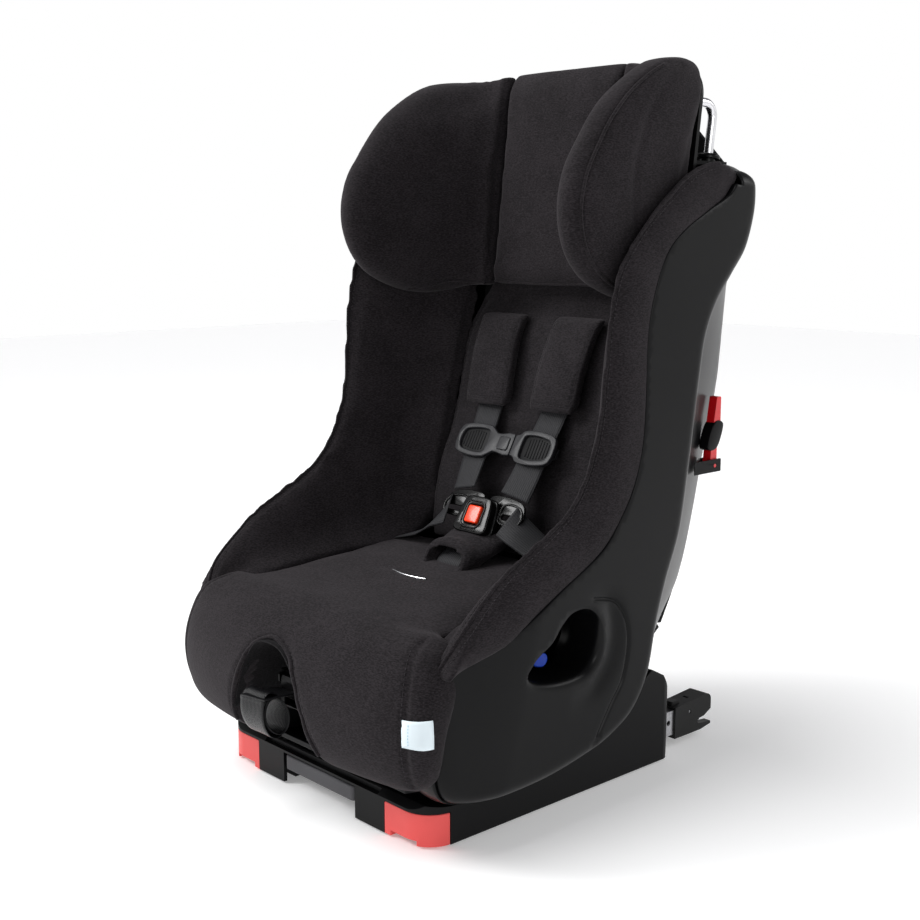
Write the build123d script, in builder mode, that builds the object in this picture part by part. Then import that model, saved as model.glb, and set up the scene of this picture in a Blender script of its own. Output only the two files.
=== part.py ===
"""Convertible child car seat with a reclining shell, harness, headrest and rigid lower anchors.

Millimetres.  +X is to the right for someone facing the seat, +Y points to its rear and +Z is up.
The origin is the centre of the base's underside.  Each piece is one STEP file in parts/, and
what lies on both sides is built once, on the +X side, and mirrored.
"""

import os
from math import cos, radians, sin, sqrt

from build123d import *

# ---------------------------------------------------------------- driving dimensions
shell_half_width = 212
pan_half_width = 150
shell_wall = 5

base_half_width = 168
base_half_depth = 175
base_wall = 4
foot_height = 2
corner_radius = 32

recline_y, recline_z = -100, 500  # the seat glides on arcs about this line, parallel to X
pan_radius = 450
back_top = 640
cradle_radius = 462
rail_x = 100

headrest_lean = 8
headrest_half_width = 186
rod_x = 140
rod_radius = 5

webbing_width = 38
webbing_thickness = 2
harness_lean = 29

anchor_x = 140  # lower anchors stand 280 mm apart
anchor_bar_radius = 3.1
anchor_bar_y, anchor_bar_z = 249, 21

gap = 0.4  # clearance between neighbouring pieces

os.makedirs("parts", exist_ok=True)


# ---------------------------------------------------------------- helpers
def save(piece, name):
    """Label one finished piece and write it as its own STEP file."""
    piece.part.label = name
    export_step(piece.part, f"parts/{name}.step")


def save_pair(piece, name):
    """Write a right-hand piece and its mirror image on the left."""
    save(piece, f"{name}_right")
    with BuildPart() as other:
        add(piece.part)
        mirror(about=Plane.YZ, mode=Mode.REPLACE)
    save(other, f"{name}_left")


def save_both(piece, name):
    """Write a right-hand piece and its mirror image together, as two solids of one node."""
    with BuildPart() as both:
        add(piece.part)
        mirror(about=Plane.YZ)
    save(both, name)


def on_arc(radius, degrees):
    """Point (y, z) on a circle about the recline line, counted rearwards from straight below it."""
    turn = radians(degrees)
    return (recline_y + radius * sin(turn), recline_z - radius * cos(turn))


def arc_band(inner, outer, start, end):
    """Draw a closed strip between two radii of the recline circle."""
    middle = (start + end) / 2
    with BuildLine() as strip:
        ThreePointArc(on_arc(inner, start), on_arc(inner, middle), on_arc(inner, end))
        Line(on_arc(inner, end), on_arc(outer, end))
        ThreePointArc(on_arc(outer, end), on_arc(outer, middle), on_arc(outer, start))
        Line(on_arc(outer, start), on_arc(inner, start))
    make_face(strip.edges())


def ribbon(stations, width, thickness, across="X"):
    """Flat webbing through level rectangles, or through upright ones when it runs along X."""
    with BuildPart() as strip:
        for x, y, z in stations:
            if across == "X":
                with BuildSketch(Plane((x, y, z), x_dir=(1, 0, 0), z_dir=(0, 0, 1))):
                    Rectangle(width, thickness)
            else:
                with BuildSketch(Plane((x, y, z), x_dir=(0, 1, 0), z_dir=(1, 0, 0))):
                    Rectangle(width, thickness)
        loft(ruled=True)
    return strip


# ================================================================ base
cradle_front, cradle_rear = -8.4, 32


base_rear_depth, rear_corner_radius = 190, 14


def base_block(inset):
    """Outer form of the base, or its hollow when inset by the wall."""
    radius = cradle_radius + inset
    floor = foot_height if inset == 0 else -1
    rear_face = [(150 + 22 - inset, floor), (175 - inset, 32), (180 - inset, 68), (176 - inset, 79)]
    with BuildPart() as block:
        with BuildSketch(Plane.YZ.offset(-base_half_width)):
            with BuildLine():
                cradle = [on_arc(radius, degrees) for degrees in (cradle_front, 10, cradle_rear)]
                ThreePointArc(*cradle)
                Line(cradle[-1], (164 - inset, 98 - inset))
                Polyline((164 - inset, 98 - inset), *reversed(rear_face))
                Line(rear_face[0], (-base_half_depth + inset, floor))
                Line((-base_half_depth + inset, floor), (-base_half_depth + inset, 37 - inset))
                Line((-base_half_depth + inset, 37 - inset), cradle[0])
            make_face()
        extrude(amount=2 * base_half_width)
        with BuildSketch(Plane.XY.offset(-2)):
            with Locations((0, 2.5)):
                RectangleRounded(
                    2 * (base_half_width - inset),
                    2 * base_half_depth + 5 - 2 * inset,
                    corner_radius - inset,
                )
            # the rear corners are tighter than the front ones
            with Locations((0, base_half_depth + 5 - base_rear_depth / 2)):
                RectangleRounded(
                    2 * (base_half_width - inset),
                    base_rear_depth - 2 * inset,
                    rear_corner_radius - inset,
                )
        extrude(amount=130, mode=Mode.INTERSECT)
    return block


crush_height, crush_depth, crush_inner_x, crush_rear_y = 34, 11, 106, -146
crush_notch_x, crush_notch_width, crush_notch_height = 132, 34, 5

with BuildPart() as crush_zone:
    with BuildSketch(Plane.XY.offset(foot_height)):
        RectangleRounded(2 * base_half_width, 2 * base_half_depth, corner_radius)
        RectangleRounded(
            2 * (base_half_width - crush_depth),
            2 * (base_half_depth - crush_depth),
            corner_radius - crush_depth,
            mode=Mode.SUBTRACT,
        )
        with Locations((crush_inner_x + 100, crush_rear_y - 100)):
            Rectangle(200, 200, mode=Mode.INTERSECT)
    extrude(amount=crush_height - foot_height)

with BuildPart() as crush_block:
    add(crush_zone.part)
    add(base_block(0).part, mode=Mode.INTERSECT)
    with BuildSketch(Plane.XZ.offset(base_half_depth + 1)):
        with Locations((crush_notch_x, foot_height)):
            Rectangle(crush_notch_width, 2 * crush_notch_height)
    extrude(amount=-crush_depth - 8, mode=Mode.SUBTRACT)
save_both(crush_block, "crush_blocks")

track_half_width, track_bottom = 12, 480
track_front, track_rear = -7.4, 31
handle_half_width, handle_bottom, handle_top = 58, 18, 33
guide_inner_x, guide_outer_x = 125, 155
screw_places = [(x, y) for x in (-60, 60) for y in (-90, -10, 125)]
screw_top = 20

with BuildPart() as base_shell:
    add(base_block(0).part)
    add(base_block(base_wall).part, mode=Mode.SUBTRACT)
    # shallow scoop in the middle of the front edge
    with BuildSketch(Plane.XZ.offset(base_half_depth + 5)):
        with Locations((0, 52)):
            Rectangle(190, 30)
    extrude(amount=-11, mode=Mode.SUBTRACT)
    # slots for the two recline tracks
    for x in (-rail_x, rail_x):
        with BuildSketch(Plane.YZ.offset(x - track_half_width)):
            arc_band(cradle_radius - 20, track_bottom, track_front, track_rear)
        extrude(amount=2 * track_half_width, mode=Mode.SUBTRACT)
    # front recess for the recline handle, open below for the fingers
    with BuildSketch(Plane.XY.offset(-1)):
        with Locations((0, -base_half_depth)):
            Rectangle(2 * handle_half_width + 4, 44)
    extrude(amount=handle_top + 2.5, mode=Mode.SUBTRACT)
    # rear ports for the anchor arms
    with BuildSketch(Plane.XZ.offset(-base_half_depth - 10)):
        with Locations((-anchor_x, 30), (anchor_x, 30)):
            Rectangle(27, 44)
    extrude(amount=30, mode=Mode.SUBTRACT)
    for x in (-1, 1):
        with BuildSketch(Plane.XY.offset(0)):
            with Locations((x * (crush_inner_x + 50), crush_rear_y - 50)):
                Rectangle(100 + 2 * gap, 100 + 2 * gap)
        extrude(amount=crush_height + gap, mode=Mode.SUBTRACT)
    # screw bosses hang from the cradle
    for x, y in screw_places:
        with BuildSketch(Plane.XY.offset(6)):
            with Locations((x, y)):
                Circle(5)
        extrude(amount=recline_z - sqrt((cradle_radius + 2) ** 2 - (y - recline_y) ** 2) - 6)
    for x, y in screw_places:
        with BuildSketch(Plane.XY.offset(5)):
            with Locations((x, y)):
                Circle(2)
        extrude(amount=screw_top - 4, mode=Mode.SUBTRACT)
save(base_shell, "base_shell")

with BuildPart() as bottom_plate:
    with BuildSketch(Plane.XY.offset(foot_height)):
        RectangleRounded(
            2 * (base_half_width - base_wall - gap) - 22,
            2 * (base_half_depth - base_wall - gap) - 24,
            corner_radius - 10,
        )
        with Locations((0, -base_half_depth)):
            Rectangle(2 * handle_half_width + 10, 60, mode=Mode.SUBTRACT)
        with Locations(*screw_places):
            Circle(2.2, mode=Mode.SUBTRACT)
    extrude(amount=3)
save(bottom_plate, "bottom_plate")

with BuildPart() as base_screws:
    for x, y in screw_places:
        with BuildSketch(Plane.XY.offset(foot_height - 1.2)):
            with Locations((x, y)):
                Circle(4)
        extrude(amount=1.2)
        with BuildSketch(Plane.XY.offset(foot_height)):
            with Locations((x, y)):
                Circle(1.95)
        extrude(amount=screw_top - foot_height)
save(base_screws, "base_screws")

with BuildPart() as base_feet:
    with BuildSketch(Plane.XY):
        with Locations((0, 0)):
            RectangleRounded(70, 110, 12)
        with Locations((-118, -110), (118, -110), (-118, 125), (118, 125)):
            RectangleRounded(54, 40, 10)
    extrude(amount=foot_height)
save(base_feet, "base_feet")

# steel channels that hold the seat's arc rails
with BuildPart() as recline_track:
    with BuildSketch(Plane.YZ.offset(rail_x - track_half_width)):
        arc_band(cradle_radius, track_bottom, track_front, track_rear)
    extrude(amount=2 * track_half_width)
    with BuildSketch(Plane.YZ.offset(rail_x - track_half_width + 2)):
        arc_band(cradle_radius + 2.5, track_bottom - 2.5, track_front - 1, track_rear + 1)
    extrude(amount=2 * track_half_width - 4, mode=Mode.SUBTRACT)
    with BuildSketch(Plane.YZ.offset(rail_x - 5.5)):
        arc_band(cradle_radius - 1, cradle_radius + 3, track_front - 1, track_rear + 1)
    extrude(amount=11, mode=Mode.SUBTRACT)
    with BuildSketch(Plane.YZ.offset(rail_x - 5)):
        arc_band(track_bottom - 3, track_bottom + 1, 3, 7)
    extrude(amount=10, mode=Mode.SUBTRACT)
save_both(recline_track, "recline_tracks")

# C-shaped guides for the anchor arms, open towards the middle
with BuildPart() as latch_guide:
    with BuildSketch(Plane.XZ.offset(-168)):
        with Locations(((guide_inner_x + guide_outer_x) / 2, 29.5)):
            Rectangle(guide_outer_x - guide_inner_x, 47)
        with Locations(((guide_inner_x + guide_outer_x) / 2 - 2, 29.5)):
            Rectangle(guide_outer_x - guide_inner_x, 43, mode=Mode.SUBTRACT)
    extrude(amount=96)
save_both(latch_guide, "latch_guides")

# ---------------------------------------------------------------- recline handle and lock
with BuildPart() as recline_handle:
    with BuildSketch(Plane.XY.offset(handle_bottom)):
        with Locations((0, -167)):
            RectangleRounded(2 * handle_half_width, 16, 5)
    extrude(amount=handle_top - handle_bottom)
    fillet(recline_handle.edges().group_by(Axis.Z)[-1], 2)
    with BuildSketch(Plane.XY.offset(handle_bottom + 3)):
        with Locations((-40, -134), (40, -134)):
            Rectangle(12, 52)
        with Locations((0, -104)):
            Rectangle(92, 10)
    extrude(amount=6)
save(recline_handle, "recline_handle")

lock_angle = 5
with BuildPart() as recline_lock:
    with BuildSketch(Plane.YZ.offset(-rail_x - 4)):
        arc_band(track_bottom + 4, track_bottom + 9, lock_angle - 1.5, lock_angle + 1.5)
    extrude(amount=2 * rail_x + 8)
    for x in (-rail_x, rail_x):
        with BuildSketch(Plane.YZ.offset(x - 4)):
            arc_band(track_bottom - 4, track_bottom + 6, lock_angle - 1, lock_angle + 1)
        extrude(amount=8)
save(recline_lock, "recline_lock")

# ================================================================ lower anchors
arm_rear_y, housing_rear_y = 206, 270
housing_bottom, housing_top = 10, 50

# channel-section arms joined by a cross tube inside the base
with BuildPart() as latch_arms:
    for x, hollow_shift in ((-anchor_x, 2), (anchor_x, -2)):
        with BuildSketch(Plane.XZ.offset(-arm_rear_y)):
            with Locations((x, 29)):
                Rectangle(20, 28)
            with Locations((x + hollow_shift, 29)):
                Rectangle(20, 24, mode=Mode.SUBTRACT)
        extrude(amount=arm_rear_y - 74)
    with BuildSketch(Plane.YZ.offset(-anchor_x - 15)):
        with Locations((186, 30), (197, 30)):
            Circle(3)
    extrude(amount=2 * anchor_x + 30, mode=Mode.SUBTRACT)
    with BuildSketch(Plane.YZ.offset(-anchor_x - 8)):
        with Locations((82, 24)):
            Circle(6)
            Circle(4.5, mode=Mode.SUBTRACT)
    extrude(amount=2 * anchor_x + 16)
save(latch_arms, "latch_arms")

housing_half, jaw_half = 12.5, 3.5
jaw_pivot = (232, 36)
with BuildPart() as latch_housing:
    with BuildSketch(Plane.YZ.offset(anchor_x - housing_half)):
        with BuildLine():
            Polyline((arm_rear_y, 10), (252, 10), (housing_rear_y, 13), (housing_rear_y, 16))
            Line((housing_rear_y, 16), (258, 21 - 4))
            Line((258, 17), (anchor_bar_y, anchor_bar_z - anchor_bar_radius))
            ThreePointArc(
                (anchor_bar_y, anchor_bar_z - anchor_bar_radius),
                (anchor_bar_y - anchor_bar_radius, anchor_bar_z),
                (anchor_bar_y, anchor_bar_z + anchor_bar_radius),
            )
            Line((anchor_bar_y, anchor_bar_z + anchor_bar_radius), (258, 25))
            Line((258, 25), (housing_rear_y, 31))
            Line((housing_rear_y, 31), (housing_rear_y, 42))
            TangentArc((housing_rear_y, 42), (262, 50), tangent=(0, 1))
            Polyline((262, 50), (arm_rear_y, 46), (arm_rear_y, 10))
        make_face()
    extrude(amount=2 * housing_half)
    # slot for the jaw and pocket for the release button
    with BuildSketch(Plane.YZ.offset(anchor_x - jaw_half)):
        Polygon(
            (223, 28), (223, 43), (238, 48.5), (272, 48.5), (272, 12), (254, 12), (250, 26), align=None
        )
    extrude(amount=2 * jaw_half, mode=Mode.SUBTRACT)
    with BuildSketch(Plane.XY.offset(39)):
        with Locations((anchor_x, 214)):
            Rectangle(13, 13)
    extrude(amount=12, mode=Mode.SUBTRACT)
    with BuildSketch(Plane.YZ.offset(anchor_x - housing_half)):
        with Locations(jaw_pivot):
            Circle(2)
    extrude(amount=2 * housing_half, mode=Mode.SUBTRACT)
save_pair(latch_housing, "latch_housing")

with BuildPart() as latch_jaw:
    with BuildSketch(Plane.YZ.offset(anchor_x - jaw_half + 0.3)):
        Polygon(
            (227, 31), (227, 40), (240, 42), (260, 37), (262, 28), (259, 15), (256, 17), (255, 29),
            align=None,
        )
    extrude(amount=2 * jaw_half - 0.6)
    with BuildSketch(Plane.YZ.offset(anchor_x - housing_half + 1)):
        with Locations(jaw_pivot):
            Circle(1.95)
    extrude(amount=2 * housing_half - 2)
save_pair(latch_jaw, "latch_jaw")

with BuildPart() as latch_release:
    with BuildSketch(Plane.XY.offset(44)):
        with Locations((anchor_x, 214)):
            RectangleRounded(12, 12, 2)
    extrude(amount=6.4)
    fillet(latch_release.edges().group_by(Axis.Z)[-1], 1.2)
save_pair(latch_release, "latch_release")

# ================================================================ seat shell
rear_middle = [(179.5, 149.5), (197, 180), (213, 214), (240, 318), (262, 391), (274, 480)]
rear_middle += [(280, 560), (276, 640)]
rear_side = [(66, 88), (92, 125), (108, 165), (139, 269), (165, 426), (189, 498)]
rear_side += [(238, 562), (249, 640)]
shell_front_y = -202
pan_front, pan_rear = -11, 38
side_arc_end = 17


def side_outline(rear, inset):
    """Side view of the shell: recline arc below, front edge, curved rear edge and a straight top."""
    radius = pan_radius - inset
    edge = [(y - inset, z) for y, z in rear]
    front = shell_front_y + inset
    start = on_arc(radius, pan_front)
    with BuildLine() as outline:
        ThreePointArc(start, on_arc(radius, 3), on_arc(radius, side_arc_end))
        Line(on_arc(radius, side_arc_end), edge[0])
        Spline(*edge)
        Polyline(edge[-1], (front, 640), (front, 95), start)
    make_face(outline.edges())


def fabric_side(inset=0):
    """Side view of everything above and in front of the plastic shell, which the cover fills."""
    edge = [(-193, 189), (-144, 191), (-103, 204), (-43, 237), (14, 267), (43, 299), (60, 327)]
    edge += [(71, 367), (74, 406), (75, 476), (88, 525), (103, 553), (127, 572), (162, 590)]
    edge += [(195, 603), (210, 622)]
    with BuildLine() as outline:
        Spline(*[(y, z + inset) for y, z in edge])
        Polyline((210, 622 + inset), (210, 632), (300, 620), (300, 760), (-300, 760), (-300, 176))
        Line((-300, 176), (-193, 189 + inset))
    make_face(outline.edges())


with BuildPart() as side_shell:
    with BuildSketch(Plane.YZ.offset(pan_half_width)):
        side_outline([on_arc(pan_radius, 22)] + rear_middle[1:], 0)
    with BuildSketch(Plane.YZ.offset(196)):
        side_outline(rear_side, 0)
    with BuildSketch(Plane.YZ.offset(shell_half_width)):
        side_outline(rear_side, 14)
    loft(ruled=True)
    with BuildSketch(Plane.YZ.offset(pan_half_width)):
        side_outline([on_arc(pan_radius, 22)] + rear_middle[1:], shell_wall)
    with BuildSketch(Plane.YZ.offset(194)):
        side_outline(rear_side, shell_wall)
    with BuildSketch(Plane.YZ.offset(shell_half_width - shell_wall)):
        side_outline(rear_side, 14 + shell_wall)
    loft(ruled=True, mode=Mode.SUBTRACT)
    with BuildSketch(Plane.YZ.offset(pan_half_width - 10)):
        fabric_side()
    extrude(amount=80, mode=Mode.SUBTRACT)
    # belt path and hand hole
    with BuildSketch(Plane.YZ.offset(190)) as recess:
        Polygon(
            (-90, 164), (-60, 151), (-4, 150), (12, 168), (12, 198), (-8, 216), (-34, 214), align=None
        )
        fillet(recess.vertices(), 8)
    extrude(amount=30, mode=Mode.SUBTRACT)
save_pair(side_shell, "side_shell")

with BuildPart() as seat_pan:
    with BuildSketch(Plane.YZ.offset(-pan_half_width + 0.2)):
        arc_band(pan_radius - shell_wall, pan_radius, pan_front, pan_rear)
    extrude(amount=2 * pan_half_width - 0.4)
save(seat_pan, "seat_pan")

with BuildPart() as recline_rail:
    with BuildSketch(Plane.YZ.offset(rail_x - 4)):
        arc_band(pan_radius, 468, 7, 29)
    extrude(amount=8)
    with BuildSketch(Plane.YZ.offset(rail_x - 8)):
        arc_band(466, 474, 7, 29)
    extrude(amount=16)
save_both(recline_rail, "recline_rails")

with BuildPart() as back_cover:
    with BuildSketch(Plane.YZ.offset(-pan_half_width + 0.2)):
        with BuildLine():
            Spline(*rear_middle)
            Line(rear_middle[-1], (rear_middle[-1][0] - 4, 640))
            Spline(*[(y - 4, z + (0.5 if z < 150 else 0)) for y, z in reversed(rear_middle)])
            Line((rear_middle[0][0] - 4, rear_middle[0][1] + 0.5), rear_middle[0])
        make_face()
    extrude(amount=2 * pan_half_width - 0.4)
    # crown between the headrest rods
    with BuildSketch(Plane.XZ.offset(-rear_middle[-1][0])):
        Polygon((-148, 640), (148, 640), (104, 684), (60, 692), (-60, 692), (-104, 684), align=None)
    extrude(amount=4)
save(back_cover, "back_cover")

# ribbed inner shell: a deck under the cushion and a back shell, with a tunnel for the vehicle belt
tunnel_front, tunnel_rear, tunnel_floor, deck_z = -88, 16, 148, 197
inner_half_width, rib_half = 127, 1.5
cross_tube_place = (184, 250)


def inner_profile(inset):
    """Side view of the inner shell; inset, it leaves the deck, the back wall and the nose."""
    reach = 6 if inset else 0
    radius = pan_radius - shell_wall - gap + reach
    deck = deck_z - inset
    with BuildLine() as outline:
        ThreePointArc(on_arc(radius, -10), on_arc(radius, 10), on_arc(radius, 34))
        rear = [(192, 190), (207, 230), (234, 318), (255, 391), (267, 480), (271, back_top + reach)]
        Spline(on_arc(radius, 34), *[(y + reach, z) for y, z in rear])
        Line((271 + reach, back_top + reach), (196 + inset, back_top + reach))
        Polyline(
            (196 + inset, back_top + reach), (176 + inset, 500), (175 + inset, 476), (156 + inset, 420),
            (109 + inset, deck), (-182 + inset, deck), on_arc(radius, -10),
        )
    make_face(outline.edges())


with BuildPart() as inner_shell:
    with BuildSketch(Plane.YZ.offset(-inner_half_width)):
        inner_profile(0)
    extrude(amount=2 * inner_half_width)
    with BuildSketch(Plane.YZ.offset(-inner_half_width - 1)):
        inner_profile(4)
    extrude(amount=2 * inner_half_width + 2, mode=Mode.SUBTRACT)
    for x in (-inner_half_width, -60, 60 - 2 * rib_half, inner_half_width - 2 * rib_half):
        with BuildSketch(Plane.YZ.offset(x)):
            inner_profile(0)
        extrude(amount=2 * rib_half)
    # the belt tunnel and the bore for the frame's cross tube
    with BuildSketch(Plane.YZ.offset(-inner_half_width)):
        with Locations(((tunnel_front + tunnel_rear) / 2, (tunnel_floor + deck_z) / 2)):
            Rectangle(tunnel_rear - tunnel_front, deck_z - tunnel_floor + 0.1)
        with Locations(cross_tube_place):
            Circle(5)
    extrude(amount=2 * inner_half_width, mode=Mode.SUBTRACT)

with BuildPart() as seat_deck:
    add(inner_shell.part)
    split(bisect_by=Plane.XZ.offset(-tunnel_rear), keep=Keep.TOP)
    with BuildSketch(Plane.XY.offset(tunnel_floor - 4)):
        with Locations((0, (tunnel_front - 4 + tunnel_rear) / 2)):
            Rectangle(2 * inner_half_width, tunnel_rear - tunnel_front + 4)
    extrude(amount=4)
save(seat_deck, "seat_deck")

# steel side rails and a cross tube stiffen the back
with BuildPart() as back_frame:
    for x in (-rod_x, rod_x):
        with BuildSketch(Plane.XY.offset(210)):
            with Locations((x, 180)):
                Rectangle(10, 6)
        with BuildSketch(Plane.XY.offset(600)):
            with Locations((x, 205)):
                Rectangle(10, 6)
        loft()
    with BuildSketch(Plane.YZ.offset(-rod_x)):
        with Locations(cross_tube_place):
            Circle(5)
    extrude(amount=2 * rod_x)
save(back_frame, "back_frame")

# ================================================================ padding
cushion_half_width, nose_half_width = 148, 192
cushion_top, cushion_bottom = 214, deck_z + gap
nose_rear_y = shell_front_y - 1
arch_half_width, arch_top = 64, 176

with BuildPart() as seat_cushion:
    # nose that wraps over the front edge
    with BuildSketch(Plane.YZ.offset(-nose_half_width)):
        with BuildLine():
            Line((nose_rear_y, 205), (nose_rear_y, 66))
            Spline(
                (nose_rear_y, 66), (-228, 88), (-236, 135), (-231, 172), (-219, 196), (nose_rear_y, 205)
            )
        make_face()
    extrude(amount=2 * nose_half_width)
    with BuildSketch(Plane.XY):
        with BuildLine():
            corners = [(-nose_half_width, -209), (nose_half_width, -209)]
            ThreePointArc(corners[0], (0, -238), corners[1])
            Polyline(corners[1], (nose_half_width, 0), (-nose_half_width, 0), corners[0])
        make_face()
    extrude(amount=230, mode=Mode.INTERSECT)
    # pad on the seat deck
    with BuildSketch(Plane.YZ.offset(-cushion_half_width)):
        with BuildLine():
            Spline(
                (nose_rear_y - 4, 204), (-140, 203), (-60, 208), (20, cushion_top - 1), (84, cushion_top)
            )
            Polyline((84, cushion_top), (84, cushion_bottom), (nose_rear_y - 4, cushion_bottom))
            Line((nose_rear_y - 4, cushion_bottom), (nose_rear_y - 4, 204))
        make_face()
    extrude(amount=2 * cushion_half_width)
    # arch for the harness adjuster
    with BuildSketch(Plane.XZ.offset(245)):
        with BuildLine():
            ThreePointArc((-arch_half_width, 108), (0, arch_top), (arch_half_width, 108))
            Polyline((arch_half_width, 108), (arch_half_width + 6, 50), (-arch_half_width - 6, 50))
            Line((-arch_half_width - 6, 50), (-arch_half_width, 108))
        make_face()
    extrude(amount=-60, mode=Mode.SUBTRACT)
    # slots for the crotch strap and the adjuster strap
    with BuildSketch(Plane.XY.offset(180)):
        with Locations((0, 15)):
            Rectangle(44, 7)
        with Locations((0, -52)):
            Rectangle(56, 10)
    extrude(amount=60, mode=Mode.SUBTRACT)
save(seat_cushion, "seat_cushion")

pad_front = [(86, 218), (95, 289), (112, 348), (131, 419), (138, 455)]
with BuildPart() as back_pad:
    with BuildSketch(Plane.YZ.offset(-120)):
        with BuildLine():
            Spline(*pad_front)
            Polyline(pad_front[-1], (160, 474), (173, 474), (154, 420), (110, 218), pad_front[0])
        make_face()
    extrude(amount=240)
save(back_pad, "back_pad")

crest = [(-201, 198), (-140, 240), (-79, 280), (-20, 320), (3, 360), (14, 400), (18, 440), (22, 480)]
crest += [(44, 560), (85, 594), (134, 627), (150, 634)]
bolster_outer_x = 204
with BuildPart() as bolster:
    with BuildSketch(Plane.YZ.offset(148.5)):
        with BuildLine():
            Spline(*crest)
            Polyline(crest[-1], (170, 614), (222, 614), (222, 590))
            Spline((222, 590), (205, 553), (172, 498), (148, 426), (122, 269), (100, 198))
            Line((100, 198), crest[0])
        make_face()
    extrude(amount=bolster_outer_x - 148.5)
    fillet(bolster.edges().filter_by(GeomType.BSPLINE).group_by(Axis.Y)[0], 4)
    # hollow of the bucket: the wall thins towards the top
    with BuildSketch(Plane.XZ.offset(260)):
        Polygon(
            (100, 640), (192, 640), (192, 512), (187, 500), (187, 430), (148.5, 262), (100, 262),
            align=None,
        )
    extrude(amount=-560, mode=Mode.SUBTRACT)
save_pair(bolster, "bolster")

# ================================================================ top of the back
rod_direction = (0, sin(radians(headrest_lean)), cos(radians(headrest_lean)))
socket_axis = Plane((rod_x, 250.9, 650), x_dir=(1, 0, 0), z_dir=rod_direction)
socket_radius, socket_length = 8, 240

# back shell, closed by a cap that the headrest rods pass through
with BuildPart() as back_shell:
    add(inner_shell.part)
    split(bisect_by=Plane.XZ.offset(-tunnel_rear), keep=Keep.BOTTOM)
    with BuildSketch(Plane.XY.offset(back_top)):
        with Locations((0, 233.6)):
            Rectangle(2 * pan_half_width - 0.4, 75)
        with Locations((-rod_x, 249.8), (rod_x, 249.8)):
            Circle(socket_radius + 1.6, mode=Mode.SUBTRACT)
    extrude(amount=4)
save(back_shell, "back_shell")

with BuildPart() as headrest_socket:
    with BuildSketch(socket_axis.offset(-socket_length)):
        Circle(socket_radius)
        Circle(rod_radius + gap, mode=Mode.SUBTRACT)
    extrude(amount=socket_length - 12)
    with BuildSketch(socket_axis.offset(-12)):
        Circle(socket_radius)
        Circle(rod_radius + 0.06, mode=Mode.SUBTRACT)
    extrude(amount=12)
    with BuildSketch(socket_axis.offset(-3)):
        Circle(13)
        Circle(rod_radius + 0.06, mode=Mode.SUBTRACT)
    extrude(amount=5)
    top_rims = headrest_socket.edges().filter_by(GeomType.CIRCLE).group_by(Axis.Z)[-1]
    fillet(top_rims.sort_by(SortBy.RADIUS)[-1], 3)
save_both(headrest_socket, "headrest_sockets")

# ================================================================ headrest
pad_slope = 0.1266  # rise of the headrest's front towards the rear, per mm of height
pad_depth, panel_half_width = 22, 84


def headrest_y(z, depth=0):
    """Depth of the headrest's front plane, or of a plane behind it, at one height."""
    return 141 + (z - 512) * pad_slope + depth


with BuildPart() as headrest_center_pad:
    with BuildSketch(Plane.YZ.offset(-panel_half_width)) as side_view:
        Polygon(
            (headrest_y(513), 513), (headrest_y(748), 748), (headrest_y(748, pad_depth), 748),
            (headrest_y(510, pad_depth), 510), align=None,
        )
        fillet(side_view.vertices().group_by(Axis.Y)[0], 7)
    extrude(amount=2 * panel_half_width)
save(headrest_center_pad, "headrest_center_pad")

wing_front = [(136, 494), (98, 497), (56, 510), (22, 528), (2, 552), (-4, 588), (3, 626), (23, 656)]
wing_front += [(53, 693), (88, 717), (133, 737), (headrest_y(750, 10), 750)]
with BuildPart() as headrest_wing:
    with BuildSketch(Plane.YZ.offset(panel_half_width + 0.6)):
        with BuildLine():
            Spline(*wing_front)
            Polyline(
                wing_front[-1],
                (headrest_y(748, pad_depth), 748),
                (headrest_y(497, pad_depth), 497),
                wing_front[0],
            )
        make_face()
    extrude(amount=headrest_half_width - panel_half_width - 0.6)
    # room for the head between the wings
    with BuildSketch(Plane.XY.offset(480)):
        Polygon((80, -60), (150, -60), (150, 12), (86, 132), (80, 132), align=None)
    extrude(amount=300, mode=Mode.SUBTRACT)
    # the lower edge stays clear of the back pad
    with BuildSketch(Plane.XZ.offset(60)):
        Polygon((80, 470), (127, 470), (127, 508), (80, 511), align=None)
    extrude(amount=-300, mode=Mode.SUBTRACT)
save_pair(headrest_wing, "headrest_wing")

head_shell_half_width, head_shell_bottom, head_shell_top = 177, 516, 741
with BuildPart() as headrest_shell:
    with BuildSketch(Plane.YZ.offset(-head_shell_half_width)):
        Polygon(
            (headrest_y(head_shell_bottom, pad_depth + gap), head_shell_bottom),
            (headrest_y(head_shell_top, pad_depth + gap), head_shell_top),
            (headrest_y(head_shell_top, pad_depth + 5), head_shell_top),
            (headrest_y(head_shell_bottom, pad_depth + 5), head_shell_bottom),
            align=None,
        )
    extrude(amount=2 * head_shell_half_width)
    head_shell_corners = headrest_shell.edges().filter_by(Axis.Y).group_by(Axis.Z)
    fillet(head_shell_corners[-1], 36)
    fillet(head_shell_corners[0], 24)
save(headrest_shell, "headrest_shell")

rod_bend_z, rod_end = 704, -206
with BuildPart() as headrest_rod:
    bend_y = 250.9 + (rod_bend_z - 650) * sin(radians(headrest_lean)) / cos(radians(headrest_lean))
    end = socket_axis.from_local_coords((0, 0, rod_end))
    with BuildLine() as rod_path:
        FilletPolyline(
            (rod_x, headrest_y(708, pad_depth + 5.8), 708),
            (rod_x, bend_y, rod_bend_z),
            tuple(end),
            radius=14,
        )
    with BuildSketch(Plane(rod_path.line @ 0, z_dir=rod_path.line % 0)):
        Circle(rod_radius)
    sweep()
save_both(headrest_rod, "headrest_rods")

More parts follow.
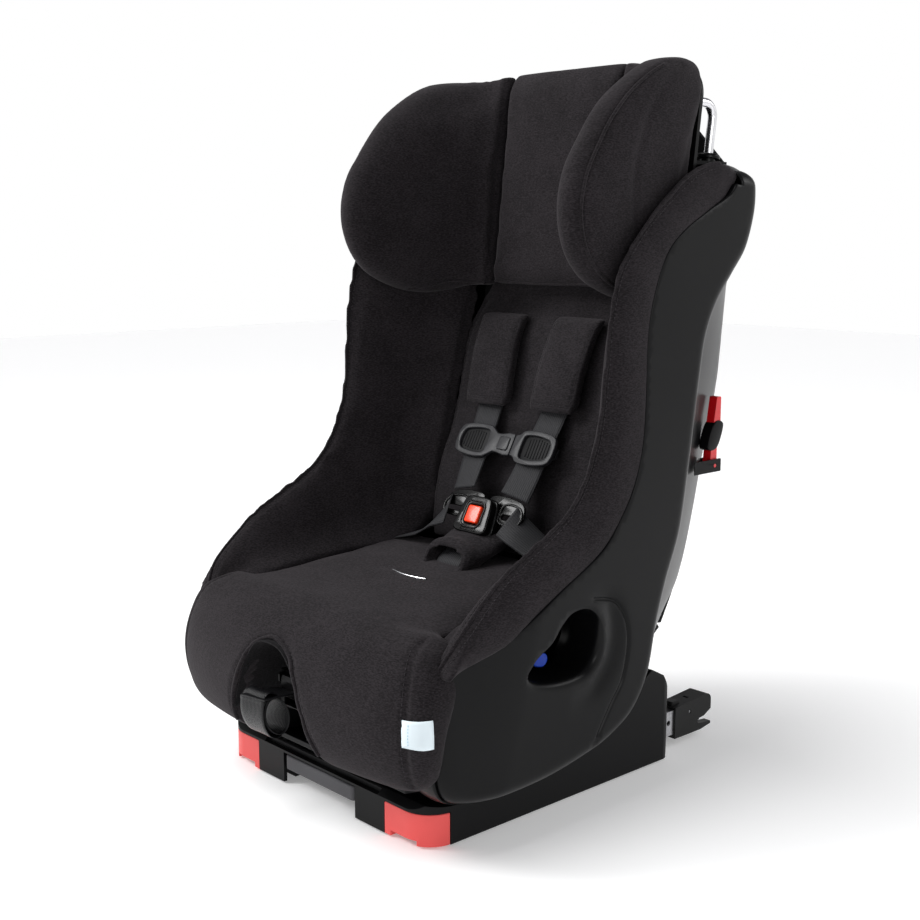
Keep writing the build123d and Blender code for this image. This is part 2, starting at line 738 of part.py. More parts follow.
with BuildPart() as headrest_release:
    with BuildSketch(Plane.XZ.offset(-headrest_y(735, pad_depth + 8))):
        with Locations((0, 733)):
            RectangleRounded(84, 30, 8)
            RectangleRounded(60, 12, 5, mode=Mode.SUBTRACT)
    extrude(amount=-9)
save(headrest_release, "headrest_release")

# ================================================================ harness
lean_sin, lean_cos = sin(radians(harness_lean)), cos(radians(harness_lean))
buckle_y, buckle_z = 52, 268
harness_out = Axis((0, 0, 0), (0, -lean_cos, lean_sin))


def harness_plane(along, out=0):
    """Plane of the lower straps: 'along' mm above the buckle and 'out' mm in front of the webbing."""
    centre = (
        0,
        buckle_y + along * lean_sin - out * lean_cos,
        buckle_z + along * lean_cos + out * lean_sin,
    )
    return Plane(centre, x_dir=(1, 0, 0), z_dir=(0, -lean_cos, lean_sin))


def strap_y(z):
    """Depth of the lower straps at one height."""
    return buckle_y + (z - buckle_z) * lean_sin / lean_cos


upper_strap = [(52, 150, 470), (51, 133, 454), (50.5, 126, 419), (50, strap_y(379), 379)]
lower_strap = [(45, strap_y(337), 337), (40, strap_y(284), 284)]
shoulder_strap = ribbon(upper_strap + lower_strap, webbing_width, webbing_thickness)
save_pair(shoulder_strap, "shoulder_strap")

pad_stations = [(51.6, 143.6, 464), (51, 133, 454), (50.5, 126, 419), (50, strap_y(379), 379)]
with BuildPart() as shoulder_pad:
    add(ribbon([(x, y - 1.9, z) for x, y, z in pad_stations], 57, 11).part)
    sleeve = upper_strap[:-1] + [(50, strap_y(376), 376)]
    add(ribbon(sleeve, webbing_width + 4, 5).part, mode=Mode.SUBTRACT)
save_pair(shoulder_pad, "shoulder_pad")

hip_path = [(63, 46, 258), (100, 56, 232), (140, 62, 218)]
hip_strap = ribbon(hip_path, webbing_width, webbing_thickness, across="Y")
save_both(hip_strap, "hip_straps")

crotch_route = [(0, 15, 199), (0, 16, 215), (0, 37.5, 241)]
crotch_strap = ribbon(crotch_route, webbing_width, webbing_thickness)
save(crotch_strap, "crotch_strap")

with BuildPart() as crotch_pad:
    add(ribbon([(0, 17.5, 217), (0, 34.5, 237)], 70, 14).part)
    add(ribbon([(0, 15.2, 214), (0, 38.4, 242)], webbing_width + 3, 5).part, mode=Mode.SUBTRACT)
save(crotch_pad, "crotch_pad")

# ---------------------------------------------------------------- buckle, tongues and chest clip
with BuildPart() as buckle_body:
    with BuildSketch(harness_plane(-7, -8)):
        RectangleRounded(48, 42, 9)
    extrude(amount=20)
    fillet(buckle_body.faces().sort_by(harness_out)[-1].edges(), 3)
    with BuildSketch(harness_plane(5, -4.2)):
        Rectangle(36, 20)
    extrude(amount=3.8, mode=Mode.SUBTRACT)
    with BuildSketch(harness_plane(-7, 3)):
        Rectangle(21, 21)
    extrude(amount=12, mode=Mode.SUBTRACT)
save(buckle_body, "buckle_body")

with BuildPart() as buckle_button:
    with BuildSketch(harness_plane(-7, 7)):
        RectangleRounded(20, 20, 3)
    extrude(amount=6.5)
    fillet(buckle_button.faces().sort_by(harness_out)[-1].edges(), 1.2)
save(buckle_button, "buckle_button")

with BuildPart() as tongue:
    with BuildSketch(harness_plane(0, -3.4)):
        Polygon(
            (3, -3), (16, -3), (16, 15), (25, 15), (25, -8), (60, -8), (60, 13), (52, 21), (3, 21),
            align=None,
        )
        with Locations((43, -1)):
            RectangleRounded(28, 5, 2, mode=Mode.SUBTRACT)
    extrude(amount=2)
save_pair(tongue, "tongue")

clip_along = (337 - buckle_z) / lean_cos
with BuildPart() as chest_clip_left:
    with BuildSketch(harness_plane(clip_along, 1.6)):
        with Locations((-31, 0)):
            RectangleRounded(88, 40, 16)
        with Locations((-18, 0)):
            Rectangle(62, 34)
        with Locations((13.2 + 50, 0)):
            Rectangle(100, 60, mode=Mode.SUBTRACT)
    extrude(amount=5.4)
    with BuildSketch(harness_plane(clip_along, -6)):
        with Locations((-3.4, 0)):
            Rectangle(33, 26)
        with Locations((-44, 0)):
            Rectangle(58, 14)
    extrude(amount=3.8)
    with BuildSketch(harness_plane(clip_along, -3)):
        with Locations((-3.4, 0)):
            Rectangle(33, 26)
        with Locations((-72.5, 0)):
            Rectangle(3, 14)
    extrude(amount=6)
    with BuildSketch(harness_plane(clip_along, 4)):
        with Locations((-47, 0)):
            RectangleRounded(38, 24, 6)
    extrude(amount=5, mode=Mode.SUBTRACT)
    with BuildSketch(harness_plane(clip_along, 0)):
        Rectangle(20, 18)
    extrude(amount=10, mode=Mode.SUBTRACT)
save(chest_clip_left, "chest_clip_left")

with BuildPart() as chest_clip_right:
    with BuildSketch(harness_plane(clip_along, 1.6)):
        with Locations((31, 0)):
            RectangleRounded(88, 40, 16)
        with Locations((26, 0)):
            Rectangle(30, 36)
        with Locations((13.6 - 50, 0)):
            Rectangle(100, 60, mode=Mode.SUBTRACT)
    extrude(amount=5.4)
    with BuildSketch(harness_plane(clip_along, -6)):
        with Locations((44, 0)):
            Rectangle(60, 14)
    extrude(amount=3.8)
    with BuildSketch(harness_plane(clip_along, -3)):
        with Locations((15.6, 0)):
            Rectangle(3, 14)
        with Locations((72.5, 0)):
            Rectangle(3, 14)
    extrude(amount=6)
    with BuildSketch(harness_plane(clip_along, 4)):
        with Locations((47, 0)):
            RectangleRounded(38, 24, 6)
    extrude(amount=5, mode=Mode.SUBTRACT)
save(chest_clip_right, "chest_clip_right")

with BuildPart() as chest_clip_button:
    with BuildSketch(harness_plane(clip_along, 3)):
        RectangleRounded(19, 17, 3)
    extrude(amount=5)
save(chest_clip_button, "chest_clip_button")

# ---------------------------------------------------------------- harness adjuster
with BuildPart() as adjuster_housing:
    with BuildSketch(Plane.YZ.offset(-26)):
        Polygon((-200, 103), (-183, 103), (-183, 140), (-200, 140), align=None)
    extrude(amount=52)
    with BuildSketch(Plane.YZ.offset(-20)):
        Polygon((-206, 104), (-187, 104), (-187, 112), (-206, 112), align=None)
    extrude(amount=40, mode=Mode.SUBTRACT)
    for x in (-19, 16):
        with BuildSketch(Plane.YZ.offset(x)):
            Polygon((-208, 130), (-200, 128), (-200, 140), (-208, 138), align=None)
            with Locations((-204, 134)):
                Circle(1.6, mode=Mode.SUBTRACT)
        extrude(amount=3)
save(adjuster_housing, "adjuster_housing")

with BuildPart() as adjuster_lever:
    with BuildSketch(Plane.YZ.offset(-15)):
        Polygon(
            (-206, 116), (-202, 116), (-201.5, 132), (-202, 137), (-206, 137), (-207, 132), align=None
        )
    extrude(amount=30)
    with BuildSketch(Plane.YZ.offset(-18.5)):
        with Locations((-204, 134)):
            Circle(1.55)
    extrude(amount=37)
save(adjuster_lever, "adjuster_lever")

roll_y, roll_z, roll_radius = -246, 112, 11
with BuildPart() as adjuster_strap:
    with BuildSketch(Plane.YZ.offset(-webbing_width / 2)):
        Polygon(
            (-188, 106.5), (-188, 108.5), (roll_y, roll_z - 8.5), (roll_y, roll_z - 10.8), align=None
        )
        with Locations((roll_y, roll_z)):
            Circle(roll_radius)
            Circle(roll_radius - 2.2, mode=Mode.SUBTRACT)
    extrude(amount=webbing_width)
save(adjuster_strap, "adjuster_strap")

with BuildPart() as harness_yoke:
    with BuildSketch(Plane.XZ.offset(-205)):
        with Locations((0, 350)):
            RectangleRounded(100, 30, 6)
        with Locations((-26, 354), (26, 354), (0, 342)):
            Rectangle(42, 4, mode=Mode.SUBTRACT)
    extrude(amount=3)
save(harness_yoke, "harness_yoke")

# ---------------------------------------------------------------- belt guides, lock-offs, tether, tag
with BuildPart() as belt_guide:
    with BuildSketch(Plane.YZ.offset(196)) as guide_face:
        Polygon((-84, 158), (-60, 153), (-52, 166), (-78, 176), align=None)
        fillet(guide_face.vertices(), 4)
    extrude(amount=10)
save_both(belt_guide, "belt_guides")

lever_pivot = (226, 322)
lever_inner_x, lever_width, bracket_wall = 168, 10, 2.4
bracket_bottom, bracket_height, bracket_rear_y = 315, 14, 236
bracket_inner_x = lever_inner_x - 0.6 - bracket_wall
bracket_outer_x = lever_inner_x + lever_width + 0.6 + bracket_wall
with BuildPart() as lockoff_bracket:
    with BuildSketch(Plane.XY.offset(bracket_bottom)):
        Polygon(
            (bracket_inner_x, 217.4),
            (bracket_inner_x, bracket_rear_y),
            (bracket_inner_x + bracket_wall, bracket_rear_y),
            (bracket_inner_x + bracket_wall, 217.5),
            (bracket_outer_x - bracket_wall, 197),
            (bracket_outer_x - bracket_wall, bracket_rear_y),
            (bracket_outer_x, bracket_rear_y),
            (bracket_outer_x, 190),
            (bracket_outer_x - bracket_wall, 192.6),
            align=None,
        )
    extrude(amount=bracket_height)
    with BuildSketch(Plane.YZ.offset(bracket_inner_x - 3)):
        with Locations(lever_pivot):
            Circle(2)
    extrude(amount=30, mode=Mode.SUBTRACT)
save_both(lockoff_bracket, "lockoff_brackets")

with BuildPart() as lockoff:
    with BuildSketch(Plane.YZ.offset(lever_inner_x)):
        Polygon(
            (220, 316), (232, 316), (232, 362), (237, 368), (237, 396), (230, 396), (224, 360),
            align=None,
        )
    extrude(amount=lever_width)
    fillet(lockoff.edges().filter_by(Axis.X), 2)
    with BuildSketch(Plane.YZ.offset(bracket_inner_x + 0.2)):
        with Locations(lever_pivot):
            Circle(1.94)
    extrude(amount=bracket_outer_x - bracket_inner_x - 0.4)
save_pair(lockoff, "lockoff")

with BuildPart() as tether_strap:
    with BuildSketch(Plane.YZ.offset(-webbing_width / 2)):
        with BuildLine():
            Spline(*[(y + 1.2, z) for y, z in rear_middle[3:]])
            Line((277.2, 640), (279.2, 640))
            Spline(*[(y + 3.2, z) for y, z in reversed(rear_middle[3:])])
            Line((243.2, 318), (241.2, 318))
        make_face()
    extrude(amount=webbing_width)
save(tether_strap, "tether_strap")

with BuildPart() as tether_hook:
    with BuildSketch(Plane.XZ.offset(-241)):
        with Locations((0, 290)):
            RectangleRounded(30, 44, 12)
            with Locations((0, -6)):
                RectangleRounded(14, 22, 6, mode=Mode.SUBTRACT)
    extrude(amount=-6)
save(tether_hook, "tether_hook")

with BuildPart() as side_tag:
    with BuildSketch(Plane.XZ.offset(217.5)):
        with Locations((176, 128)):
            Rectangle(24, 34)
    extrude(amount=0.8)
save(side_tag, "side_tag")
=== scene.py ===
"""Looks of the convertible child car seat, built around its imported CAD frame.

The frame's axes hold: +X to the right for someone facing the seat, +Y to its rear, +Z up.
Lists of points are in millimetres, and the mesh helpers turn them into metres.  What lies on
both sides is described once, on the +X side, and mirrored.
"""

import math

import bmesh
import bpy
import numpy as np
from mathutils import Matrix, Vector
from mathutils.bvhtree import BVHTree
from mathutils.geometry import delaunay_2d_cdt
from mathutils.kdtree import KDTree


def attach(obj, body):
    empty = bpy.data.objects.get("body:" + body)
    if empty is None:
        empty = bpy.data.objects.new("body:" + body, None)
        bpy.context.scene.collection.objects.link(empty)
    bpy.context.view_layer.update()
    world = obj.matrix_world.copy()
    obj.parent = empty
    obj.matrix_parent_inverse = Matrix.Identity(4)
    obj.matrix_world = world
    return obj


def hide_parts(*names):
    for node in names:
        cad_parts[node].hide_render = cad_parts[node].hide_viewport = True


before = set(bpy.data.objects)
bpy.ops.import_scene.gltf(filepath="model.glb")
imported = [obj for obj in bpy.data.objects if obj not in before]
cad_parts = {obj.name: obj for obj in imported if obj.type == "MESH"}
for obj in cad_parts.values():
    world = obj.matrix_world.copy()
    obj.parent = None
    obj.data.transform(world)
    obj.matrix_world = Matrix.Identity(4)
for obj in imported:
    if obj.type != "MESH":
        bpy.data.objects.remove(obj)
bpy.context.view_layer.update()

MM = 0.001
SIDES = {"right": 1, "left": -1}
EDGE_ANGLE = 35
PUCKER_PITCH = 9.0
CLOTH_STEPS = 20


# ================================================================ curves and meshes
def curve(points, count, closed=False):
    """Evenly spaced points on a smooth curve through a few given ones."""
    p = np.array(points, float)
    n = len(p)
    steps = np.linspace(0, 1, 24, endpoint=False)[:, None]
    dense = []
    for i in range(n if closed else n - 1):
        if closed:
            a, b, c, d = p[i - 1], p[i], p[(i + 1) % n], p[(i + 2) % n]
        else:
            a, b, c, d = p[max(i - 1, 0)], p[i], p[i + 1], p[min(i + 2, n - 1)]
        cubic = (-a + 3 * b - 3 * c + d) * steps**3
        dense.append(0.5 * (2 * b + (c - a) * steps + (2 * a - 5 * b + 4 * c - d) * steps**2 + cubic))
    dense = np.vstack(dense + [p[:1] if closed else p[-1:]])
    return spread(dense, count, closed)


def spread(points, count, closed=False):
    """The same polyline with evenly spaced points."""
    points = np.array(points, float)
    run = np.concatenate([[0], np.cumsum(np.linalg.norm(np.diff(points, axis=0), axis=1))])
    at = np.linspace(0, run[-1], count, endpoint=not closed)
    return np.stack([np.interp(at, run, points[:, k]) for k in range(points.shape[1])], axis=1)


def build(name, vertices, faces, smooth=True):
    """An object from millimetre points."""
    mesh = bpy.data.meshes.new(name)
    mesh.from_pydata([tuple(float(c) * MM for c in v) for v in vertices], [], faces)
    mesh.validate()
    made = bpy.data.objects.new(name, mesh)
    bpy.context.scene.collection.objects.link(made)
    mesh.polygons.foreach_set("use_smooth", [smooth] * len(mesh.polygons))
    return made


def tidy(piece, merge=0.00002):
    """Joins doubled points and turns every face outwards."""
    work = bmesh.new()
    work.from_mesh(piece.data)
    bmesh.ops.remove_doubles(work, verts=work.verts, dist=merge)
    bmesh.ops.dissolve_degenerate(work, dist=0.000005, edges=work.edges)
    bmesh.ops.recalc_face_normals(work, faces=work.faces)
    work.to_mesh(piece.data)
    work.free()
    return piece


def loft(name, rows, closed=True, caps=True):
    """Skin over rows of points, with texture coordinates in metres across and along."""
    rows = np.array(rows, float)
    count, width = rows.shape[:2]
    faces = []
    for r in range(count - 1):
        for c in range(width if closed else width - 1):
            d = (c + 1) % width
            faces.append((r * width + c, r * width + d, (r + 1) * width + d, (r + 1) * width + c))
    if caps and closed:
        faces.append(tuple(range(width - 1, -1, -1)))
        faces.append(tuple((count - 1) * width + c for c in range(width)))
    made = build(name, rows.reshape(-1, 3), faces)
    across = np.concatenate([[0], np.cumsum(np.linalg.norm(np.diff(rows[count // 2], axis=0), axis=1))])
    middle = rows.mean(axis=1)
    along = np.concatenate([[0], np.cumsum(np.linalg.norm(np.diff(middle, axis=0), axis=1))])
    layer = made.data.uv_layers.new(name="UVMap")
    for polygon in made.data.polygons:
        for loop in polygon.loop_indices:
            vertex = made.data.loops[loop].vertex_index
            layer.data[loop].uv = (across[vertex % width] * MM, along[vertex // width] * MM)
    return tidy(made, 0.000001)


def tube(name, path, radius, sides=10, closed=False, flat=1.0):
    """Round or flattened cord along a path."""
    path = np.array(path, float)
    ahead = np.roll(path, -1, axis=0) - np.roll(path, 1, axis=0)
    if not closed:
        ahead[0], ahead[-1] = path[1] - path[0], path[-1] - path[-2]
    ahead /= np.linalg.norm(ahead, axis=1)[:, None]
    side = np.cross(ahead[0], (0.0, 0.0, 1.0))
    if np.linalg.norm(side) < 0.1:
        side = np.cross(ahead[0], (1.0, 0.0, 0.0))
    rows = []
    for point, tangent in zip(path, ahead):
        side = side - tangent * (side @ tangent)
        side /= np.linalg.norm(side)
        lift = np.cross(side, tangent)
        ring = []
        for k in range(sides):
            turn = 2 * math.pi * k / sides
            ring.append(point + radius * (math.cos(turn) * side + flat * math.sin(turn) * lift))
        rows.append(ring)
    if closed:
        rows.append(rows[0])
    return loft(name, rows, caps=not closed)


def mirrored(piece, name):
    """The left-hand twin of a right-hand piece."""
    twin = piece.copy()
    twin.data = piece.data.copy()
    twin.name = twin.data.name = name
    bpy.context.scene.collection.objects.link(twin)
    work = bmesh.new()
    work.from_mesh(twin.data)
    for vertex in work.verts:
        vertex.co.x = -vertex.co.x
    bmesh.ops.reverse_faces(work, faces=work.faces)
    work.to_mesh(twin.data)
    work.free()
    return twin


def joined(name, parts):
    """Several meshes as one piece."""
    work = bmesh.new()
    for part in parts:
        work.from_mesh(part.data)
        bpy.data.objects.remove(part)
    mesh = bpy.data.meshes.new(name)
    work.to_mesh(mesh)
    work.free()
    made = bpy.data.objects.new(name, mesh)
    bpy.context.scene.collection.objects.link(made)
    return made


def applied(piece):
    """Bakes a piece's modifiers into its mesh."""
    graph = bpy.context.evaluated_depsgraph_get()
    graph.update()
    mesh = bpy.data.meshes.new_from_object(piece.evaluated_get(graph))
    piece.modifiers.clear()
    piece.data = mesh
    return piece


def refined(piece):
    """Subdivides a piece's surface once."""
    modifier = piece.modifiers.new("refine", "SUBSURF")
    modifier.levels = modifier.render_levels = 1
    return applied(piece)


def bevelled(piece, width, segments, angle):
    """Adds a modifier that rounds a piece's hard edges."""
    bevel = piece.modifiers.new("round", "BEVEL")
    bevel.width = width * MM
    bevel.segments = segments
    bevel.limit_method = "ANGLE"
    bevel.angle_limit = math.radians(angle)
    bevel.use_clamp_overlap = True
    return bevel


def softened(piece, width, segments):
    """Rounds a CAD node's hard edges, without touching its own mesh."""
    weld = piece.modifiers.new("weld", "WELD")
    weld.merge_threshold = 0.00001
    bevelled(piece, width, segments, EDGE_ANGLE).harden_normals = True


def smooth_shaded(piece):
    piece.data.polygons.foreach_set("use_smooth", [True] * len(piece.data.polygons))


def walled(piece, thickness):
    """Gives a sheet a thickness, behind its face."""
    wall = piece.modifiers.new("wall", "SOLIDIFY")
    wall.thickness = thickness * MM
    wall.offset = -1
    return applied(piece)


def unit(rows):
    """Rows scaled to length one."""
    return rows / np.linalg.norm(rows, axis=1)[:, None]


def square_to(slope):
    """Unit vectors square to flat directions."""
    return unit(np.stack([slope[:, 1], -slope[:, 0]], axis=1))


def plate(name, outline, low, high, place, round_by=1.0, holes=()):
    """A slab with rounded edges; place(x, along, out) puts its points into the frame."""
    points, kept = patch([np.array(outline, float), *[np.array(h, float) for h in holes]])
    count = len(points)
    vertices = [place(p[0], p[1], low) for p in points] + [place(p[0], p[1], high) for p in points]
    faces = [tuple(reversed(t)) for t in kept] + [tuple(i + count for i in t) for t in kept]
    rim_edges = {}
    for t in kept:
        for a, b in ((t[0], t[1]), (t[1], t[2]), (t[2], t[0])):
            rim_edges[(a, b)] = True
    for a, b in rim_edges:
        if (b, a) not in rim_edges:
            faces.append((a, b, b + count, a + count))
    made = tidy(build(name, vertices, faces, smooth=False))
    work = bmesh.new()
    work.from_mesh(made.data)
    bmesh.ops.dissolve_limit(work, angle_limit=math.radians(1), verts=work.verts, edges=work.edges)
    work.to_mesh(made.data)
    work.free()
    bevelled(made, round_by, 3, 40)
    applied(made)
    smooth_shaded(made)
    made.data.set_sharp_from_angle(angle=math.radians(EDGE_ANGLE))
    return made


def within(points, polygon):
    """Which of the flat points lie inside a polygon."""
    points, polygon = np.array(points, float), np.array(polygon, float)
    found = np.zeros(len(points), bool)
    for (x1, y1), (x0, y0) in zip(polygon, np.roll(polygon, 1, axis=0)):
        if y1 != y0:
            cross = (x0 - x1) * (points[:, 1] - y1) / (y0 - y1) + x1
            found ^= ((y1 > points[:, 1]) != (y0 > points[:, 1])) & (points[:, 0] < cross)
    return found


def patch(rims, extra=()):
    """Triangles that fill the first flat outline, around the other ones; extra points lie within."""
    flat, edges = [], []
    for rim in rims:
        start = len(flat)
        flat += [Vector(p) for p in rim]
        edges += [(start + k, start + (k + 1) % len(rim)) for k in range(len(rim))]
    flat += [Vector(p) for p in extra]
    points, _, triangles, *_ = delaunay_2d_cdt(flat, edges, [], 0, 0.001)
    points = np.array([tuple(p) for p in points])
    triangles = np.array([t for t in triangles if len(t) == 3])
    middles = points[triangles].mean(axis=1)
    kept = within(middles, rims[0])
    for hole in rims[1:]:
        kept &= ~within(middles, hole)
    return points, [tuple(int(i) for i in t) for t in triangles[kept]]


def rounded_box(width, height, radius, centre=(0, 0)):
    """Outline of a rectangle with round corners."""
    steps = 5
    points = []
    corners = [(1, 1), (-1, 1), (-1, -1), (1, -1)]
    for k, (sx, sy) in enumerate(corners):
        for step in range(steps + 1):
            turn = math.radians(90 * k + 90 * step / steps)
            x = centre[0] + sx * (width / 2 - radius) + radius * math.cos(turn)
            y = centre[1] + sy * (height / 2 - radius) + radius * math.sin(turn)
            points.append((x, y))
    return points


def tree_of(points):
    """Search tree over path points, given in metres."""
    tree = KDTree(len(points))
    for k, point in enumerate(points):
        tree.insert(point, k)
    tree.balance()
    return tree


def groove(piece, path, depth, width, pucker=0.0):
    """Presses a sewn line into a soft surface; pucker makes it rise and fall along the seam."""
    path = spread(path, 300) * MM
    run = np.linalg.norm(path[1] - path[0])
    reach = 3 * width * MM
    mesh = piece.data
    places = np.empty(len(mesh.vertices) * 3, np.float32)
    normals = np.empty(len(mesh.vertices) * 3, np.float32)
    mesh.vertices.foreach_get("co", places)
    mesh.vertices.foreach_get("normal", normals)
    places, normals = places.reshape(-1, 3), normals.reshape(-1, 3)
    near = ((places > path.min(axis=0) - reach) & (places < path.max(axis=0) + reach)).all(axis=1)
    tree = tree_of(path)
    for index in np.flatnonzero(near):
        _, step, distance = tree.find(places[index])
        if distance < reach:
            wave = 1 + pucker * math.sin(2 * math.pi * step * run / (PUCKER_PITCH * MM))
            fade = math.exp(-((distance / (width * MM)) ** 2))
            places[index] -= normals[index] * depth * MM * wave * fade
    mesh.vertices.foreach_set("co", places.ravel())
    mesh.update()


def on_surface(piece, path, lift=0.0):
    """Moves path points onto a piece's surface; returns the points and the surface's normals."""
    tree = BVHTree.FromObject(piece, bpy.context.evaluated_depsgraph_get())
    points, normals = [], []
    for point in np.array(path, float) * MM:
        place, normal, _, _ = tree.find_nearest(Vector(point))
        points.append((place + normal * lift * MM) / MM)
        normals.append(normal)
    return np.array(points), np.array(normals)


def laid(piece, path, keep, count, lift=0.0, closed=False):
    """A path moved onto a piece's surface and evened out through every keep-th point."""
    line, _ = on_surface(piece, path, lift)
    return curve(line[::keep], count, closed)


def topstitch(name, piece, path, pitch=4.4, length=3.0, radius=0.42):
    """A row of short thread dashes along a path on a piece."""
    path = np.array(path, float)
    total = np.linalg.norm(np.diff(path, axis=0), axis=1).sum()
    count = max(2, int(total / pitch))
    fine = spread(path, count * 4 + 1)
    points, normals = on_surface(piece, fine, 0.15)
    vertices, faces = [], []
    for k in range(count):
        a, b, c = points[4 * k], points[4 * k + 1], points[4 * k + 3]
        ahead = c - a
        if np.linalg.norm(ahead) < 0.5:
            continue
        ahead /= np.linalg.norm(ahead)
        normal = normals[4 * k + 1]
        side = np.cross(ahead, normal)
        half = length / 2
        middle = (a + c) / 2
        start = len(vertices)
        for shift, size in ((-half, 0.35), (-half * 0.5, 1.0), (half * 0.5, 1.0), (half, 0.35)):
            for turn in range(6):
                angle = math.pi * turn / 3
                offset = math.cos(angle) * side + math.sin(angle) * normal
                vertices.append(middle + ahead * shift + offset * radius * size)
        for ring in range(3):
            for turn in range(6):
                nxt = (turn + 1) % 6
                row = start + ring * 6
                faces.append((row + turn, row + nxt, row + 6 + nxt, row + 6 + turn))
        faces.append(tuple(start + t for t in range(5, -1, -1)))
        faces.append(tuple(start + 18 + t for t in range(6)))
    return build(name, vertices, faces)


def smoothed(piece, rounds):
    """Evens out a mesh."""
    modifier = piece.modifiers.new("even", "SMOOTH")
    modifier.factor = 0.5
    modifier.iterations = rounds
    return applied(piece)


def remeshed(piece, voxel):
    """Rebuilds a closed mesh, or several that overlap, from voxels of one size."""
    modifier = piece.modifiers.new("voxels", "REMESH")
    modifier.mode = "VOXEL"
    modifier.voxel_size = voxel * MM
    modifier.use_smooth_shade = True
    return applied(piece)


def stuffed(piece, voxel=5.0, pressure=4.0, cap=6.0, rounds=4, held=None):
    """Sews and stuffs a pad: remesh, cloth under pressure with a capped swell, then one subdivision."""
    remeshed(piece, voxel)
    smoothed(piece, rounds)
    rest = np.array([v.co for v in piece.data.vertices])
    if held is not None:
        group = piece.vertex_groups.new(name="held")
        for vertex in piece.data.vertices:
            if held(vertex.co / MM):
                group.add([vertex.index], 1.0, "REPLACE")
    cloth = piece.modifiers.new("cloth", "CLOTH")
    setup = cloth.settings
    setup.quality = 5
    setup.mass = 0.3
    setup.tension_stiffness = setup.compression_stiffness = 18
    setup.shear_stiffness = 8
    setup.bending_stiffness = 0.6
    setup.use_pressure = True
    setup.uniform_pressure_force = pressure
    setup.effector_weights.gravity = 0
    if held is not None:
        setup.vertex_group_mass = "held"
    scene = bpy.context.scene
    for step in range(1, CLOTH_STEPS + 1):
        scene.frame_set(step)
    graph = bpy.context.evaluated_depsgraph_get()
    blown = piece.evaluated_get(graph).to_mesh()
    moved = np.array([v.co for v in blown.vertices])
    piece.evaluated_get(graph).to_mesh_clear()
    piece.modifiers.clear()
    shift = moved - rest
    size = np.linalg.norm(shift, axis=1)[:, None]
    limit = cap * MM
    shift *= np.tanh(size / limit) * limit / np.maximum(size, 1e-9)
    piece.data.vertices.foreach_set("co", (rest + shift).astype(np.float32).ravel())
    piece.data.update()
    piece.vertex_groups.clear()
    scene.frame_set(1)
    refined(piece)
    piece.data.name = piece.name
    return piece


# ================================================================ materials
def node(tree, kind, inputs=None, **settings):
    """A shader node with its inputs and settings filled in."""
    made = tree.nodes.new(kind)
    for key, value in settings.items():
        setattr(made, key, value)
    for key, value in (inputs or {}).items():
        made.inputs[key].default_value = value
    return made


def new_material(name):
    made = bpy.data.materials.new(name)
    made.use_nodes = True
    return made, made.node_tree, made.node_tree.nodes["Principled BSDF"]


def shade(colour, factor):
    return (*[min(1.0, c * factor) for c in colour], 1.0)


def ramp(tree, source, low, high, start=0.3, end=0.7):
    """Colour that runs from low to high as the source does."""
    made = node(tree, "ShaderNodeValToRGB")
    made.color_ramp.elements[0].position = start
    made.color_ramp.elements[1].position = end
    made.color_ramp.elements[0].color = low
    made.color_ramp.elements[1].color = high
    tree.links.new(source, made.inputs["Fac"])
    return made.outputs["Color"]


def maths(tree, operation, a, b):
    """Two values combined; each is a socket or a number."""
    made = node(tree, "ShaderNodeMath", operation=operation)
    for slot, value in zip(made.inputs, (a, b)):
        if isinstance(value, (int, float)):
            slot.default_value = value
        else:
            tree.links.new(value, slot)
    return made.outputs[0]


def noise(tree, coordinates, scale, detail=3.0, roughness=0.5):
    made = node(tree, "ShaderNodeTexNoise", {"Scale": scale, "Detail": detail, "Roughness": roughness})
    tree.links.new(coordinates, made.inputs["Vector"])
    return made.outputs["Fac"]


def stretched(tree, coordinates, scale):
    """Coordinates scaled differently along each axis."""
    made = node(tree, "ShaderNodeMapping", {"Scale": scale})
    tree.links.new(coordinates, made.inputs["Vector"])
    return made.outputs["Vector"]


def bands(tree, coordinates, pitch, direction):
    """Even ribs across one axis."""
    made = node(tree, "ShaderNodeTexWave", {"Scale": 0.314 / pitch}, bands_direction=direction)
    tree.links.new(coordinates, made.inputs["Vector"])
    return made.outputs["Fac"]


def bumped(tree, shader, height, distance, strength):
    made = node(tree, "ShaderNodeBump", {"Distance": distance, "Strength": strength})
    tree.links.new(height, made.inputs["Height"])
    tree.links.new(made.outputs["Normal"], shader.inputs["Normal"])


def knit(name, colour, rib=0.0015, sheen=0.07):
    """Fine horizontal rib knit with flecks of lighter yarn."""
    made, tree, shader = new_material(name)
    place = node(tree, "ShaderNodeTexCoord").outputs["Object"]
    yarn = noise(tree, stretched(tree, place, (380, 380, 1150)), 1.0, 2.0)
    patches = noise(tree, place, 22.0, 4.0, 0.6)
    rows = bands(tree, place, rib, "Z")
    columns = maths(tree, "MULTIPLY", bands(tree, place, rib, "Y"), 0.45)
    weave = maths(tree, "ADD", maths(tree, "MULTIPLY", rows, 0.5), columns)
    fleck = maths(tree, "ADD", maths(tree, "MULTIPLY", yarn, 0.75), maths(tree, "MULTIPLY", patches, 0.25))
    tone = ramp(tree, fleck, shade(colour, 0.55), shade(colour, 1.65), 0.40, 0.61)
    tree.links.new(tone, shader.inputs["Base Color"])
    height = maths(tree, "ADD", maths(tree, "MULTIPLY", weave, 0.5), yarn)
    bumped(tree, shader, height, 0.00035, 0.75)
    shader.inputs["Roughness"].default_value = 0.92
    shader.inputs["Specular IOR Level"].default_value = 0.08
    shader.inputs["Sheen Weight"].default_value = sheen
    shader.inputs["Sheen Roughness"].default_value = 0.55
    shader.inputs["Sheen Tint"].default_value = (0.86, 0.80, 0.84, 1)
    return made


